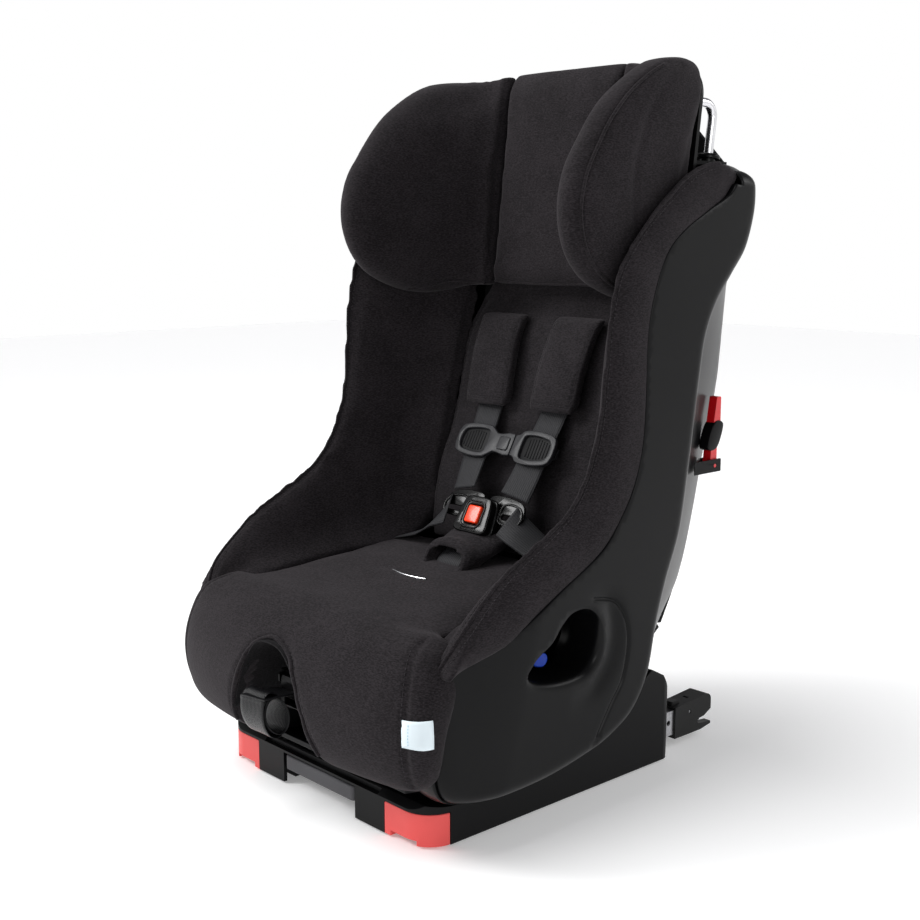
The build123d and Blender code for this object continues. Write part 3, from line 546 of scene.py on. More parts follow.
def woven(name, colour, rib=0.0026, gloss=0.55, sheen=0.2):
    """Polyester webbing: ribs along its length and a fine slanted weave across them, with painted shade in
    the grooves.
    """
    made, tree, shader = new_material(name)
    place = node(tree, "ShaderNodeTexCoord").outputs["UV"]
    ribs = bands(tree, place, rib, "X")
    turned = node(tree, "ShaderNodeMapping", {"Rotation": (0, 0, math.radians(38))})
    tree.links.new(place, turned.inputs["Vector"])
    twill = bands(tree, turned.outputs["Vector"], rib * 0.42, "Y")
    thread = noise(tree, stretched(tree, place, (900, 260, 900)), 1.0, 2.0)
    height = maths(tree, "ADD", ribs, maths(tree, "MULTIPLY", twill, 0.45))
    painted_rib_shade, spun = maths(tree, "MULTIPLY", height, 0.4), maths(tree, "MULTIPLY", thread, 0.5)
    # Colour is darker where the ribs and twill sit low, a painted shade in the grooves, mixed with a random
    # thread tone.
    tone = ramp(tree, maths(tree, "ADD", painted_rib_shade, spun), shade(colour, 0.55), shade(colour, 1.45), 0.25, 0.8)
    tree.links.new(tone, shader.inputs["Base Color"])
    bumped(tree, shader, height, 0.0004, 0.7)
    shader.inputs["Roughness"].default_value = gloss
    shader.inputs["Specular IOR Level"].default_value = 0.22
    shader.inputs["Sheen Weight"].default_value = sheen
    shader.inputs["Sheen Roughness"].default_value = 0.5
    return made


def moulded(name, colour, rough=0.45, grain=0.0007, depth=0.00006, coat=0.0, edge_highlight_gain=1.7, specular=0.5):
    """Moulded plastic: fine spark grain, slightly uneven gloss and a painted highlight on convex edges."""
    made, tree, shader = new_material(name)
    place = node(tree, "ShaderNodeTexCoord").outputs["Object"]
    sparks = noise(tree, place, 1.0 / grain, 4.0, 0.6)
    uneven = noise(tree, place, 14.0, 3.0)
    # Convex edges, found from Pointiness, are mixed towards a paler colour: a painted highlight along the
    # edges.
    edges = node(tree, "ShaderNodeNewGeometry").outputs["Pointiness"]
    edge_highlight_mask = maths(tree, "MULTIPLY", maths(tree, "SUBTRACT", edges, 0.515), 9.0)
    blend = node(tree, "ShaderNodeMix", data_type="RGBA", clamp_factor=True)
    blend.inputs["B"].default_value = shade(colour, edge_highlight_gain)
    tree.links.new(edge_highlight_mask, blend.inputs["Factor"])
    tree.links.new(ramp(tree, uneven, shade(colour, 0.88), shade(colour, 1.12)), blend.inputs["A"])
    tree.links.new(blend.outputs["Result"], shader.inputs["Base Color"])
    gloss = node(tree, "ShaderNodeMapRange", {"To Min": rough - 0.05, "To Max": rough + 0.07})
    broad, fine = maths(tree, "MULTIPLY", uneven, 0.6), maths(tree, "MULTIPLY", sparks, 0.4)
    tree.links.new(maths(tree, "ADD", broad, fine), gloss.inputs["Value"])
    tree.links.new(gloss.outputs["Result"], shader.inputs["Roughness"])
    bumped(tree, shader, sparks, depth, 0.8)
    shader.inputs["Specular IOR Level"].default_value = specular
    shader.inputs["Coat Weight"].default_value = coat
    shader.inputs["Coat Roughness"].default_value = 0.12
    return made


def metal(name, colour, rough=0.3, drawn=(900, 60, 900)):
    """Plated steel with fine drawing marks along one axis."""
    made, tree, shader = new_material(name)
    place = node(tree, "ShaderNodeTexCoord").outputs["Object"]
    marks = noise(tree, stretched(tree, place, drawn), 1.0, 4.0, 0.65)
    stains = noise(tree, place, 45.0, 4.0)
    tree.links.new(ramp(tree, stains, shade(colour, 0.82), shade(colour, 1.1)), shader.inputs["Base Color"])
    gloss = node(tree, "ShaderNodeMapRange", {"To Min": rough - 0.07, "To Max": rough + 0.12})
    tree.links.new(marks, gloss.inputs["Value"])
    tree.links.new(gloss.outputs["Result"], shader.inputs["Roughness"])
    bumped(tree, shader, marks, 0.00004, 0.6)
    shader.inputs["Metallic"].default_value = 1.0
    return made


# Each moulded look's edge gain sets how much its painted edge highlight pales the convex edges.
LOOKS = {
    "cover": knit("cover_knit", (0.0118, 0.0101, 0.0113)),
    "insert": knit("insert_knit", (0.0128, 0.0112, 0.0124), rib=0.0019),
    "lining": knit("lining_knit", (0.0060, 0.0058, 0.0063), rib=0.0022, sheen=0.04),
    "thread": knit("sewing_thread", (0.022, 0.020, 0.022), rib=0.0008, sheen=0.08),
    "webbing": woven("harness_webbing", (0.017, 0.017, 0.019), sheen=0.03),
    "black_webbing": woven("black_webbing", (0.0045, 0.0045, 0.0052), rib=0.0021, gloss=0.30, sheen=0.0),
    "shell": moulded("shell_plastic_look", (0.0026, 0.0026, 0.0029), rough=0.30, specular=0.13, edge_highlight_gain=2.0),
    "back": moulded("back_plastic_look", (0.0030, 0.0030, 0.0033), rough=0.55, grain=0.0016, depth=0.00018,
                    specular=0.14),
    "base": moulded("base_plastic_look", (0.0032, 0.0032, 0.0035), rough=0.40, specular=0.12, edge_highlight_gain=2.0),
    "inner": moulded("inner_plastic_look", (0.0042, 0.0042, 0.0045), rough=0.6, specular=0.10),
    "handle": moulded("handle_plastic_look", (0.050, 0.049, 0.054), rough=0.5, specular=0.3),
    "anchor": moulded("anchor_plastic_look", (0.008, 0.008, 0.008), rough=0.48, specular=0.2),
    "clip": moulded("clip_plastic_look", (0.015, 0.015, 0.017), rough=0.40, specular=0.25, coat=0.03),
    "dark_clip": moulded("clip_grip_look", (0.0055, 0.0055, 0.006), rough=0.5, specular=0.12),
    "buckle": moulded("buckle_plastic_look", (0.0022, 0.0022, 0.0022), rough=0.22, depth=0.00002,
                      specular=0.2, coat=0.06),
    "crush": moulded("crush_plastic_look", (0.70, 0.085, 0.080), rough=0.42, specular=0.25, edge_highlight_gain=1.1),
    "button": moulded("button_plastic_look", (0.92, 0.050, 0.008), rough=0.25, depth=0.00002,
                      specular=0.3, coat=0.15, edge_highlight_gain=1.1),
    "lockoff": moulded("lockoff_plastic_look", (0.56, 0.004, 0.008), rough=0.3, coat=0.3, edge_highlight_gain=1.2),
    "guide": moulded("guide_plastic_look", (0.006, 0.035, 0.30), rough=0.35, specular=0.2, edge_highlight_gain=1.2),
    "rubber": moulded("foot_rubber_look", (0.014, 0.014, 0.014), rough=0.85, grain=0.0012),
    "steel": metal("zinc_steel_look", (0.52, 0.52, 0.54)),
    "rod": metal("polished_rod_look", (0.74, 0.74, 0.76), rough=0.22, drawn=(900, 900, 60)),
    "tag": moulded("blank_label_look", (0.66, 0.74, 0.78), rough=0.8, grain=0.0005, specular=0.1, edge_highlight_gain=1.1),
    "tag_edge": moulded("label_stripe_look", (0.24, 0.50, 0.62), rough=0.8, specular=0.1),
}


def dress(piece, look, body="seat", replaces=()):
    """Gives a new piece its material and body, and hides the CAD nodes that it stands for."""
    piece.data.materials.clear()
    piece.data.materials.append(LOOKS[look])
    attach(piece, body)
    if replaces:
        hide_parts(*replaces)
    return piece


def dress_pair(piece, look, body="seat", replaces=None):
    """Dresses a right-hand piece and its new left-hand twin; {side} stands for the side in names."""
    twin = mirrored(piece, piece.name.removesuffix("right") + "left")
    for side, made in (("right", piece), ("left", twin)):
        stands_for = [replaces.format(side=side)] if replaces else ()
        dress(made, look, body.format(side=side), stands_for)


def repaint(look, *names):
    """Gives CAD nodes that stay visible a better material."""
    for name in names:
        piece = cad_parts[name]
        piece.data.materials.clear()
        piece.data.materials.append(LOOKS[look])


# ================================================================ carried-over CAD nodes
def paint_frame():
    """Materials and rounded edges for the CAD nodes that stay."""
    both = lambda name: (f"{name}_left", f"{name}_right")
    repaint("base", "base_shell", "bottom_plate")
    repaint("inner", "seat_deck", "back_shell", "latch_guides")
    repaint("crush", "crush_blocks")
    repaint("handle", "recline_handle")
    repaint("shell", "seat_pan", "headrest_release", "headrest_sockets", "lockoff_brackets", "headrest_shell")
    repaint("back", "back_cover")
    repaint("anchor", *both("latch_housing"), *both("latch_release"))
    repaint("steel", "latch_arms", *both("latch_jaw"), "recline_tracks", "recline_rails", "recline_lock")
    repaint("steel", "back_frame", "harness_yoke", "tether_hook", "base_screws")
    repaint("rod", "headrest_rods")
    repaint("rubber", "base_feet")
    repaint("shell", "adjuster_housing", "adjuster_lever")
    repaint("black_webbing", "tether_strap")
    repaint("lockoff", *both("lockoff"))
    rounding = [
        (2.2, 3, ["base_shell"]),
        (1.1, 3, ["crush_blocks", "recline_handle", "latch_arms", *both("latch_housing"),
                  "back_cover", "back_shell"]),
        (0.8, 2, ["headrest_shell", "headrest_release", "lockoff_brackets", "tether_hook",
                  "adjuster_housing"]),
        (0.7, 2, [*both("lockoff"), "seat_pan", "adjuster_lever", *both("latch_jaw")]),
    ]
    for width, segments, names in rounding:
        for name in names:
            softened(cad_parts[name], width, segments)


# ================================================================ side shells
RECLINE_Y, RECLINE_Z, PAN_RADIUS = -100, 500, 450
SHELL_X, SHELL_ROUND, PAN_X = 212, 16, 150

# side view of the shell's edge at the outer face, and of the same edge next to the back cover
EDGE_PAIRS = [
    ((215, 632), (222, 640)), ((230, 632), (245, 641)), ((244, 626), (264, 640)), ((249, 613), (275, 632)),
    ((247, 586), (279.5, 590)), ((234, 551), (279, 545)), ((212, 525), (277, 515)), ((189, 498), (274, 486)),
    ((173, 466), (270, 450)), ((165, 426), (264, 405)), ((152, 340), (245, 335)), ((139, 269), (228, 265)),
    ((119, 219), (212, 212)), ((105, 177), (192, 176)), ((92, 125), (140, 120)), ((68, 90), (72, 86)),
]
FABRIC_EDGE = [
    (215, 632), (208, 617), (195, 605), (162, 590), (127, 572), (103, 553), (88, 525), (75, 476), (74, 406),
    (71, 367), (60, 327), (43, 299), (14, 267), (-43, 237), (-72, 221), (-103, 204), (-144, 191), (-180, 185),
]
RECESS = [
    (-77, 177), (-84, 166), (-78, 157), (-57, 151), (-30, 149), (-8, 152), (6, 164), (11, 182), (7, 202),
    (-8, 213), (-28, 213), (-42, 204), (-56, 189),
]
GROOVE_LINE = [(5, 221), (34, 213), (49, 193), (53, 166), (45, 132), (29, 110), (15, 90), (4, 72)]


def on_arc(degrees):
    """Side-view point on the underside's arc, measured from straight below its axis."""
    turn = math.radians(degrees)
    return (RECLINE_Y + PAN_RADIUS * math.sin(turn), RECLINE_Z - PAN_RADIUS * math.cos(turn))


def distance_to(points, path):
    """Shortest distance from each flat point to a dense path."""
    return np.sqrt(((points[:, None, :] - path[None, :, :]) ** 2).sum(axis=2)).min(axis=1)


def shell_x(points):
    """Height of the shell's outer face, with its front taper, scoop and parting groove."""
    points = np.array(points, float)
    height = np.full(len(points), float(SHELL_X))
    # in front of a soft crease the face turns inwards
    crease_low, crease_high = np.array((-118.0, 50.0)), np.array((-78.0, 190.0))
    along = (crease_high - crease_low) / np.linalg.norm(crease_high - crease_low)
    ahead = (points - crease_low) @ np.array((-along[1], along[0]))
    height -= 15.0 * (np.clip(ahead, 0, None) / 80.0) ** 1.4
    # valley behind and below the hand recess
    ring = distance_to(points, curve(RECESS, 200, closed=True))
    behind = np.clip((points[:, 0] + 30) / 40, 0, 1) * np.clip((235 - points[:, 1]) / 30, 0, 1)
    height -= 4.5 * behind * np.exp(-(((ring - 22) / 11) ** 2))
    cut = distance_to(points, curve(GROOVE_LINE, 200))
    height -= 2.4 * np.exp(-((cut / 1.7) ** 2))
    return height


def side_shell():
    """Outer shell of one side: rear wrap, rounded edge, face, recess tunnel and fabric lip."""
    under = [on_arc(degrees) for degrees in (17, 12, 6, 0, -4.5)]
    outer = [a for a, _ in EDGE_PAIRS] + under
    inner = [b for _, b in EDGE_PAIRS] + under
    front = [(-158, 54.5), (-173, 60), (-182, 72), (-186, 92), (-187, 120), (-187, 150), (-186, 183)]
    both = curve([(*a, *b) for a, b in zip(outer + front, inner + front)], 210)
    edge, wrap = both[:, :2], both[:, 2:]
    inward = square_to(np.gradient(edge, axis=0))
    centre = np.array((20.0, 300.0))
    if ((centre - edge[100]) @ inward[100]) < 0:
        inward = -inward
    rows = []
    for share in np.linspace(0, 1, 10, endpoint=False):
        flat = wrap + (edge - wrap) * share
        bulge = math.sin(math.pi * share) * 3.0
        x = np.full(len(flat), PAN_X + (SHELL_X - SHELL_ROUND - PAN_X) * share)
        flat = flat - inward * bulge
        rows.append(np.column_stack([x, flat]))
    for step in range(8):
        turn = math.radians(90 * step / 7)
        flat = edge + inward * SHELL_ROUND * (1 - math.cos(turn))
        x = shell_x(flat) - SHELL_ROUND * (1 - math.sin(turn))
        rows.append(np.column_stack([x, flat]))
    skin = loft("side_skin", rows, closed=False, caps=False)
    border = rows[-1][:, 1:]
    fabric = spread(np.vstack([border[:1], curve(FABRIC_EDGE[1:-1], 150), border[-1:]]), 170)
    # the face, with a hole at the recess
    recess = curve(RECESS, 110, closed=True)
    middle = recess.mean(axis=0)
    out = square_to(np.roll(recess, -1, axis=0) - np.roll(recess, 1, axis=0))
    if ((recess[0] - middle) @ out[0]) < 0:
        out = -out
    soft = np.clip(0.65 - out[:, 1], 0.12, 1.2)[:, None]
    steps = (
        (9, 0.0), (6.5, 0.35), (4, 1.4), (2, 3.2), (0.6, 6.2), (0, 10), (-0.8, 20), (-1.2, 34), (-1.6, 50),
    )
    rims = [(recess + out * soft * wider, drop) for wider, drop in steps]
    outline = np.vstack([border, fabric[::-1][1:-1]])
    hole = rims[0][0]
    groove_line = curve(GROOVE_LINE, 70)
    beside = square_to(np.gradient(groove_line, axis=0))
    offsets = (-5, -3, -1.8, -0.9, 0, 0.9, 1.8, 3, 5)
    extra = []
    for offset in offsets:
        extra += list(groove_line + beside * offset)
    grid = 6.0
    for y in np.arange(-200, 250, grid):
        for z in np.arange(50, 640, grid):
            extra.append((y + (grid / 2 if int(z / grid) % 2 else 0.0), z))
    extra = np.array(extra)
    keep_off = np.minimum(distance_to(extra, outline), distance_to(extra, hole))
    near_groove = distance_to(extra, groove_line)
    on_lines = np.arange(len(extra)) < len(offsets) * len(groove_line)
    extra = extra[(keep_off > 2.2) & (on_lines | (near_groove > 6))]
    extra = extra[within(extra, outline) & ~within(extra, hole)]
    flat, kept = patch([outline, hole], extra)
    face = build("side_face", np.column_stack([shell_x(flat), flat]), kept)
    # tunnel of the recess
    base = shell_x(rims[0][0])
    rows = [np.column_stack([np.minimum(base, base.max()) - drop, ring]) for ring, drop in rims]
    tunnel = loft("side_tunnel", rows, caps=False)
    # lip along the fabric
    away = square_to(np.gradient(fabric, axis=0))
    if within([fabric[60] + away[60] * 3], outline)[0]:
        away = -away
    steps = ((0, 0), (0.9, 0.5), (1.3, 1.5), (1.3, 7))
    rows = [np.column_stack([shell_x(fabric) - drop, fabric + away * wider]) for wider, drop in steps]
    lip = loft("side_lip", rows, closed=False, caps=False)
    made = joined("side_shell_skin_right", [skin, face, tunnel, lip])
    tidy(made, 0.0001)
    outwards = sum(p.normal.x * p.area for p in made.data.polygons)
    if outwards < 0:
        made.data.flip_normals()
    smooth_shaded(made)
    walled(made, 2.5)
    smooth_shaded(made)
    return made


def make_side_shells():
    dress_pair(side_shell(), "shell", replaces="side_shell_{side}")


# ================================================================ bolsters
# stations up the bolster: crest, edge by the shell, root by the cushion or back pad, each (x, y, z)
BOLSTER_STATIONS = [
    ((186, -184, 176), (189, -181, 174), (173, -179, 169)),
    ((198, -168, 209), (205, -152, 187), (158, -166, 186)),
    ((200, -140, 240), (208.5, -112, 199), (144, -140, 194)),
    ((200, -115, 260), (208.5, -82, 215), (142, -100, 197)),
    ((200, -79, 281), (208.5, -43, 236), (141, -52, 200)),
    ((200, -42, 301), (208.5, -8, 254), (139, -4, 204)),
    ((200, -20, 320), (208.5, 22, 276), (128, 58, 206)),
    ((200, -3, 346), (208.5, 46, 304), (118, 94, 236)),
    ((200, 8, 374), (208.5, 64, 340), (119, 106, 285)),
    ((200, 14, 400), (208.5, 71, 370), (116, 117, 333)),
    ((200, 18, 440), (208.5, 73.5, 418), (114, 132, 390)),
    ((200, 22, 480), (208.5, 75, 470), (114, 147, 446)),
    ((200, 28, 512), (208.5, 82, 507), (116, 164, 498)),
    ((201, 38, 540), (208.5, 93, 534), (124, 174, 540)),
    ((203, 55, 564), (208.5, 108, 555), (134, 180, 570)),
    ((204, 85, 593), (208.5, 131, 573), (146, 186, 596)),
    ((205, 112, 612), (208.5, 160, 587), (152, 190, 612)),
    ((205, 138, 629), (208.5, 186, 600), (158, 196, 626)),
    ((204, 168, 639), (207, 211, 619), (164, 206, 637)),
    ((202, 192, 641), (206, 222, 630), (166, 216, 639)),
]


def bolster_row(crest, edge, root):
    """Closed section of the bolster: outer band, crest, hollow inner wall and hidden back."""
    crest, edge, root = (np.array(p, float) for p in (crest, edge, root))
    band = (crest + edge) / 2
    band[0] = 210
    hip = crest * 0.78 + edge * 0.22
    hip[0] = 207.5
    down = (root - crest)
    shoulder = crest + down * 0.07
    shoulder[0] = crest[0] - 5
    wall_high = crest + down * 0.30
    wall_high[0] = crest[0] - 9 - 0.12 * abs(crest[0] - root[0])
    wall_low = crest + down * 0.68
    wall_low[0] = root[0] + 0.62 * (wall_high[0] - root[0])
    back = edge + (root - crest) * 0.35
    back[0] = min(max(root[0] + 8, 178), 199)
    tuck = edge + (edge - crest) * 0.08
    tuck[0] = 205
    return curve([edge, band, hip, crest, shoulder, wall_high, wall_low, root, back, tuck], 64, closed=True)


def make_bolsters():
    dense = curve([np.concatenate(s) for s in BOLSTER_STATIONS], 84)
    rows = [bolster_row(s[:3], s[3:6], s[6:]) for s in dense]
    pad = loft("bolster_cover_right", rows)
    stuffed(pad, voxel=5.0, pressure=2.5, cap=3.0, rounds=3)
    crest = curve([station[0] for station in BOLSTER_STATIONS], 260)
    line, _ = on_surface(pad, crest)
    groove(pad, line, 0.9, 7.0)
    seat_line, _ = on_surface(pad, crest, 0.2)
    welt = tube("bolster_welt_right", spread(seat_line, 240), 2.1, 8, flat=0.8)
    beside = {"inner": (-6.0, 3.0, -3.0), "outer": (5.5, 5.0, -4.5)}
    seams = {name: laid(pad, crest + np.array(offset), 12, 240) for name, offset in beside.items()}
    for name, seam in seams.items():
        groove(pad, seam, 0.7, 2.0, 0.25)
        dress_pair(topstitch(f"bolster_stitch_{name}_right", pad, seam), "thread")
    dress_pair(pad, "cover", replaces="bolster_{side}")
    dress_pair(welt, "cover")


# ================================================================ cushion
NOSE_X, NOSE_DEPTH = 192, 236.5
ARCH_HALF, ARCH_SHOULDER, ARCH_TOP = 61, 104, 178


def nose_front(x):
    """Depth of the cushion's nose at one width."""
    return -NOSE_DEPTH + 23 * (abs(x) / NOSE_X) ** 2.4


# centre section of the nose: (y, z, how much it follows the bowed front), from the top round the front
NOSE_SECTION = [
    (-150, 207, 0), (-178, 206, 0.1), (-203, 199, 0.5), (-222, 182, 0.9), (-233, 158, 1), (-236.5, 130, 1),
    (-234, 102, 1), (-224, 79, 0.9), (-207, 67, 0.7), (-188, 68, 0.4), (-176, 84, 0), (-168, 130, 0),
    (-150, 190, 0),
]


def cushion_nose():
    """Front roll of the cushion, with rounded ends."""
    rows = []
    centre_y, centre_z = -194, 126
    widths = [np.linspace(-201.5, -150, 16), np.linspace(-142, 142, 30), np.linspace(150, 201.5, 16)]
    for x in np.concatenate(widths):
        end = max(0.0, (abs(x) - 140) / 62)
        size = max(0.3, (1 - min(end, 1) ** 3.4) ** (1 / 2.6))
        bow = nose_front(x) + NOSE_DEPTH
        ring = []
        for y, z, follow in NOSE_SECTION:
            y += bow * follow
            deep = centre_y + (y - centre_y) * (0.35 + 0.65 * size)
            ring.append((x, deep, centre_z + (z - centre_z) * size))
        rows.append(curve(ring, 60, closed=True))
    return loft("cushion_nose", rows)


def cushion_deck():
    """Seat pad behind the nose."""
    top = [(-196, 199), (-170, 206.5), (-120, 206), (-60, 209), (0, 212.5), (50, 214), (84, 213)]
    rows = []
    for x in np.linspace(-155, 155, 42):
        crown = 1.6 - 4.6 * (abs(x) / 155) ** 4
        rim = 3.0 * max(0, (abs(x) - 140) / 15)
        ring = [(x, y, z + crown) for y, z in top]
        ring += [(x, 92 - rim, 207), (x, 91 - rim, 199), (x, 0, 198), (x, -120, 197), (x, -190, 186)]
        rows.append(curve(ring, 70, closed=True))
    return loft("cushion_deck", rows)


def arch_outline(grow=0.0):
    """Front view (x, z) of the opening for the harness adjuster, from its left foot to its right one."""
    low, half, shoulder, top = 52, ARCH_HALF + grow, ARCH_SHOULDER, ARCH_TOP + grow
    left = [(-half - 10, low), (-half - 6, 74), (-half, shoulder), (-half + 15, 142), (-26, top - 7)]
    right = [(24, top - 7), (half - 17, 142), (half - 3, shoulder), (half + 6, 74), (half + 10, low)]
    return curve([*left, (0, top), *right], 90)


def make_cushion():
    pad = joined("cushion_cover", [cushion_nose(), cushion_deck()])
    rows = [[(x, y, z) for x, z in arch_outline()] for y in (-262, -140)]
    cutter = loft("arch_cutter", rows)
    cut = pad.modifiers.new("arch", "BOOLEAN")
    cut.operation = "DIFFERENCE"
    cut.solver = "EXACT"
    cut.use_self = True
    cut.object = cutter
    voxels = pad.modifiers.new("voxels", "REMESH")
    voxels.mode = "VOXEL"
    voxels.voxel_size = 4.2 * MM
    # the parts are fused before the arch is cut
    pad.modifiers.move(1, 0)
    applied(pad)
    bpy.data.objects.remove(cutter)
    stuffed(pad, voxel=4.2, pressure=3.0, cap=3.5, rounds=5, held=lambda p: p.z < 199 and p.y > -195)
    # rolled rim of the arch
    rim = [(x, nose_front(x) - 1, z) for x, z in arch_outline(2.0)[6:-6]]
    groove(pad, rim, 1.2, 3.0)
    welt = tube("arch_welt", laid(pad, rim, 4, 160, 0.6), 2.3, 10)
    outside = [(x, nose_front(x) - 2, z) for x, z in arch_outline(9.0)[8:-8]]
    line = laid(pad, outside, 6, 150)
    groove(pad, line, 0.8, 1.8, 0.3)
    dress(topstitch("arch_stitch", pad, line), "thread")
    # gusset seams at both ends of the nose
    gusset = [
        (182, -206, 74), (184, -214, 100), (184, -216, 130), (182, -212, 158), (176, -202, 182),
        (166, -184, 198), (156, -158, 204),
    ]
    for side, sign in SIDES.items():
        line = laid(pad, curve([(sign * x, y, z) for x, y, z in gusset], 60), 6, 120)
        groove(pad, line, 2.2, 3.2, 0.12)
        beside = laid(pad, line + np.array((-sign * 5.0, -0.5, 0)), 8, 120)
        groove(pad, beside, 0.6, 1.6, 0.3)
        dress(topstitch(f"gusset_stitch_{side}", pad, beside), "thread")
    dress(pad, "cover", replaces=["seat_cushion"])
    dress(welt, "cover")
    # dark lining of the arch
    rows = []
    for y, grow in ((-231, 1.0), (-222, 0.5), (-208, -0.5), (-186, -4.0), (-182, -14.0), (-180, -30.0)):
        rows.append([(x, y + 8 * (z < 90), z) for x, z in arch_outline(grow)[13:-13]])
    lining = loft("arch_lining", rows, closed=False, caps=False)
    walled(lining, 1.5)
    dress(lining, "lining")
    # polished edge of the adjuster slot
    slot_edge = [
        (-30, -50, 211.8), (-15, -53.5, 213.2), (0, -54.5, 213.6), (15, -53.5, 213.2), (30, -50, 211.8),
    ]
    trim = tube("adjuster_trim", laid(pad, curve(slot_edge, 40), 4, 60, 0.5), 1.3, 8)
    dress(trim, "rod")


# ================================================================ back pad and headrest
PAD_FRONT = [
    (86, 214), (90, 250), (96, 289), (105, 320), (116, 348), (137, 419), (148, 455), (159, 473),
    (171, 489), (179, 508), (184, 530), (187, 550),
]


def slab_row(half, front, rear, z, crown, tuck):
    """Closed level section of a pad: crowned front, round corners and a flat back."""
    corner = 6.0
    middle = front + (rear - front) * 0.55
    points = [(-half, middle), (-half + corner * 0.25, front + corner * 0.45)]
    points += [(-half + corner, front + tuck * 0.3)]
    for share in (-0.62, -0.32, 0, 0.32, 0.62):
        points.append((share * half, front - crown * (1 - share**2)))
    points += [(half - corner, front + tuck * 0.3), (half - corner * 0.25, front + corner * 0.45)]
    points += [(half, middle), (half - 4, rear), (half * 0.3, rear), (-half * 0.3, rear), (-half + 4, rear)]
    return [(x, y, z) for x, y in curve(points, 60, closed=True)]


def make_back_pad():
    front = curve(PAD_FRONT, 40)
    rows = []
    for k, (y, z) in enumerate(front):
        ease = min(1.0, k / 3, (len(front) - 1 - k) / 3)
        thick = 15 + 6 * ease
        inset = 3 * (1 - ease)
        half = 128 + 7 * min(1, max(0, (z - 380) / 60)) - inset
        rows.append(slab_row(half, y + inset, y + thick, z, crown=3.0, tuck=1.0))
    pad = loft("back_pad_cover", rows)
    stuffed(pad, voxel=4.5, pressure=3.0, cap=3.0, rounds=3, held=lambda p: p.y > 130 and p.z < 300)
    for side, sign in SIDES.items():
        line = laid(pad, [(sign * 117, y - 2, z) for y, z in front[2:-6]], 3, 140)
        groove(pad, line, 1.1, 2.4, 0.2)
        dress(topstitch(f"back_stitch_{side}", pad, line + np.array((-sign * 3.0, 0, 0))), "thread")
    dress(pad, "insert", replaces=["back_pad"])


HEAD_SLOPE, HEAD_DEPTH = 0.1266, 22


def head_y(z, depth=0.0):
    """Depth of the headrest's sloping front at one height."""
    return 141 + (z - 512) * HEAD_SLOPE + depth


WING_FRONT = [
    (137, 495), (100, 497), (58, 509), (26, 526), (5, 552), (-4, 588), (3, 626), (22, 657), (52, 695),
    (86, 721), (124, 741), (164, 748),
]


def wing_row(front, root, rear, tuck):
    """Closed section of a headrest wing, from the centre seam round its thick front edge and back."""
    (fy, fz), (ry, rz), (by, bz) = front, root, rear
    mix = lambda s: (ry + (fy - ry) * s, rz + (fz - rz) * s)
    back = lambda s: (fy + (by - fy) * s, fz + (bz - fz) * s)
    points = [(85.5, *mix(0)), (100, *mix(0.10)), (120, *mix(0.36)), (137, *mix(0.68)), (148, *mix(0.90))]
    points += [(157, *mix(0.985)), (168, fy - 1.0, fz), (179, *back(0.03)), (185.5, *back(0.12))]
    points += [(187.5, *back(0.34)), (187, *back(0.68)), (184, *back(0.95)), (168, *back(1.0))]
    points += [(130, (by + ry + HEAD_DEPTH) / 2, (bz + rz) / 2), (87, ry + HEAD_DEPTH - 2, rz)]
    points = [(85 + (x - 85) * (1 - 0.14 * tuck), y, z) for x, y, z in points]
    return curve(points, 72, closed=True)


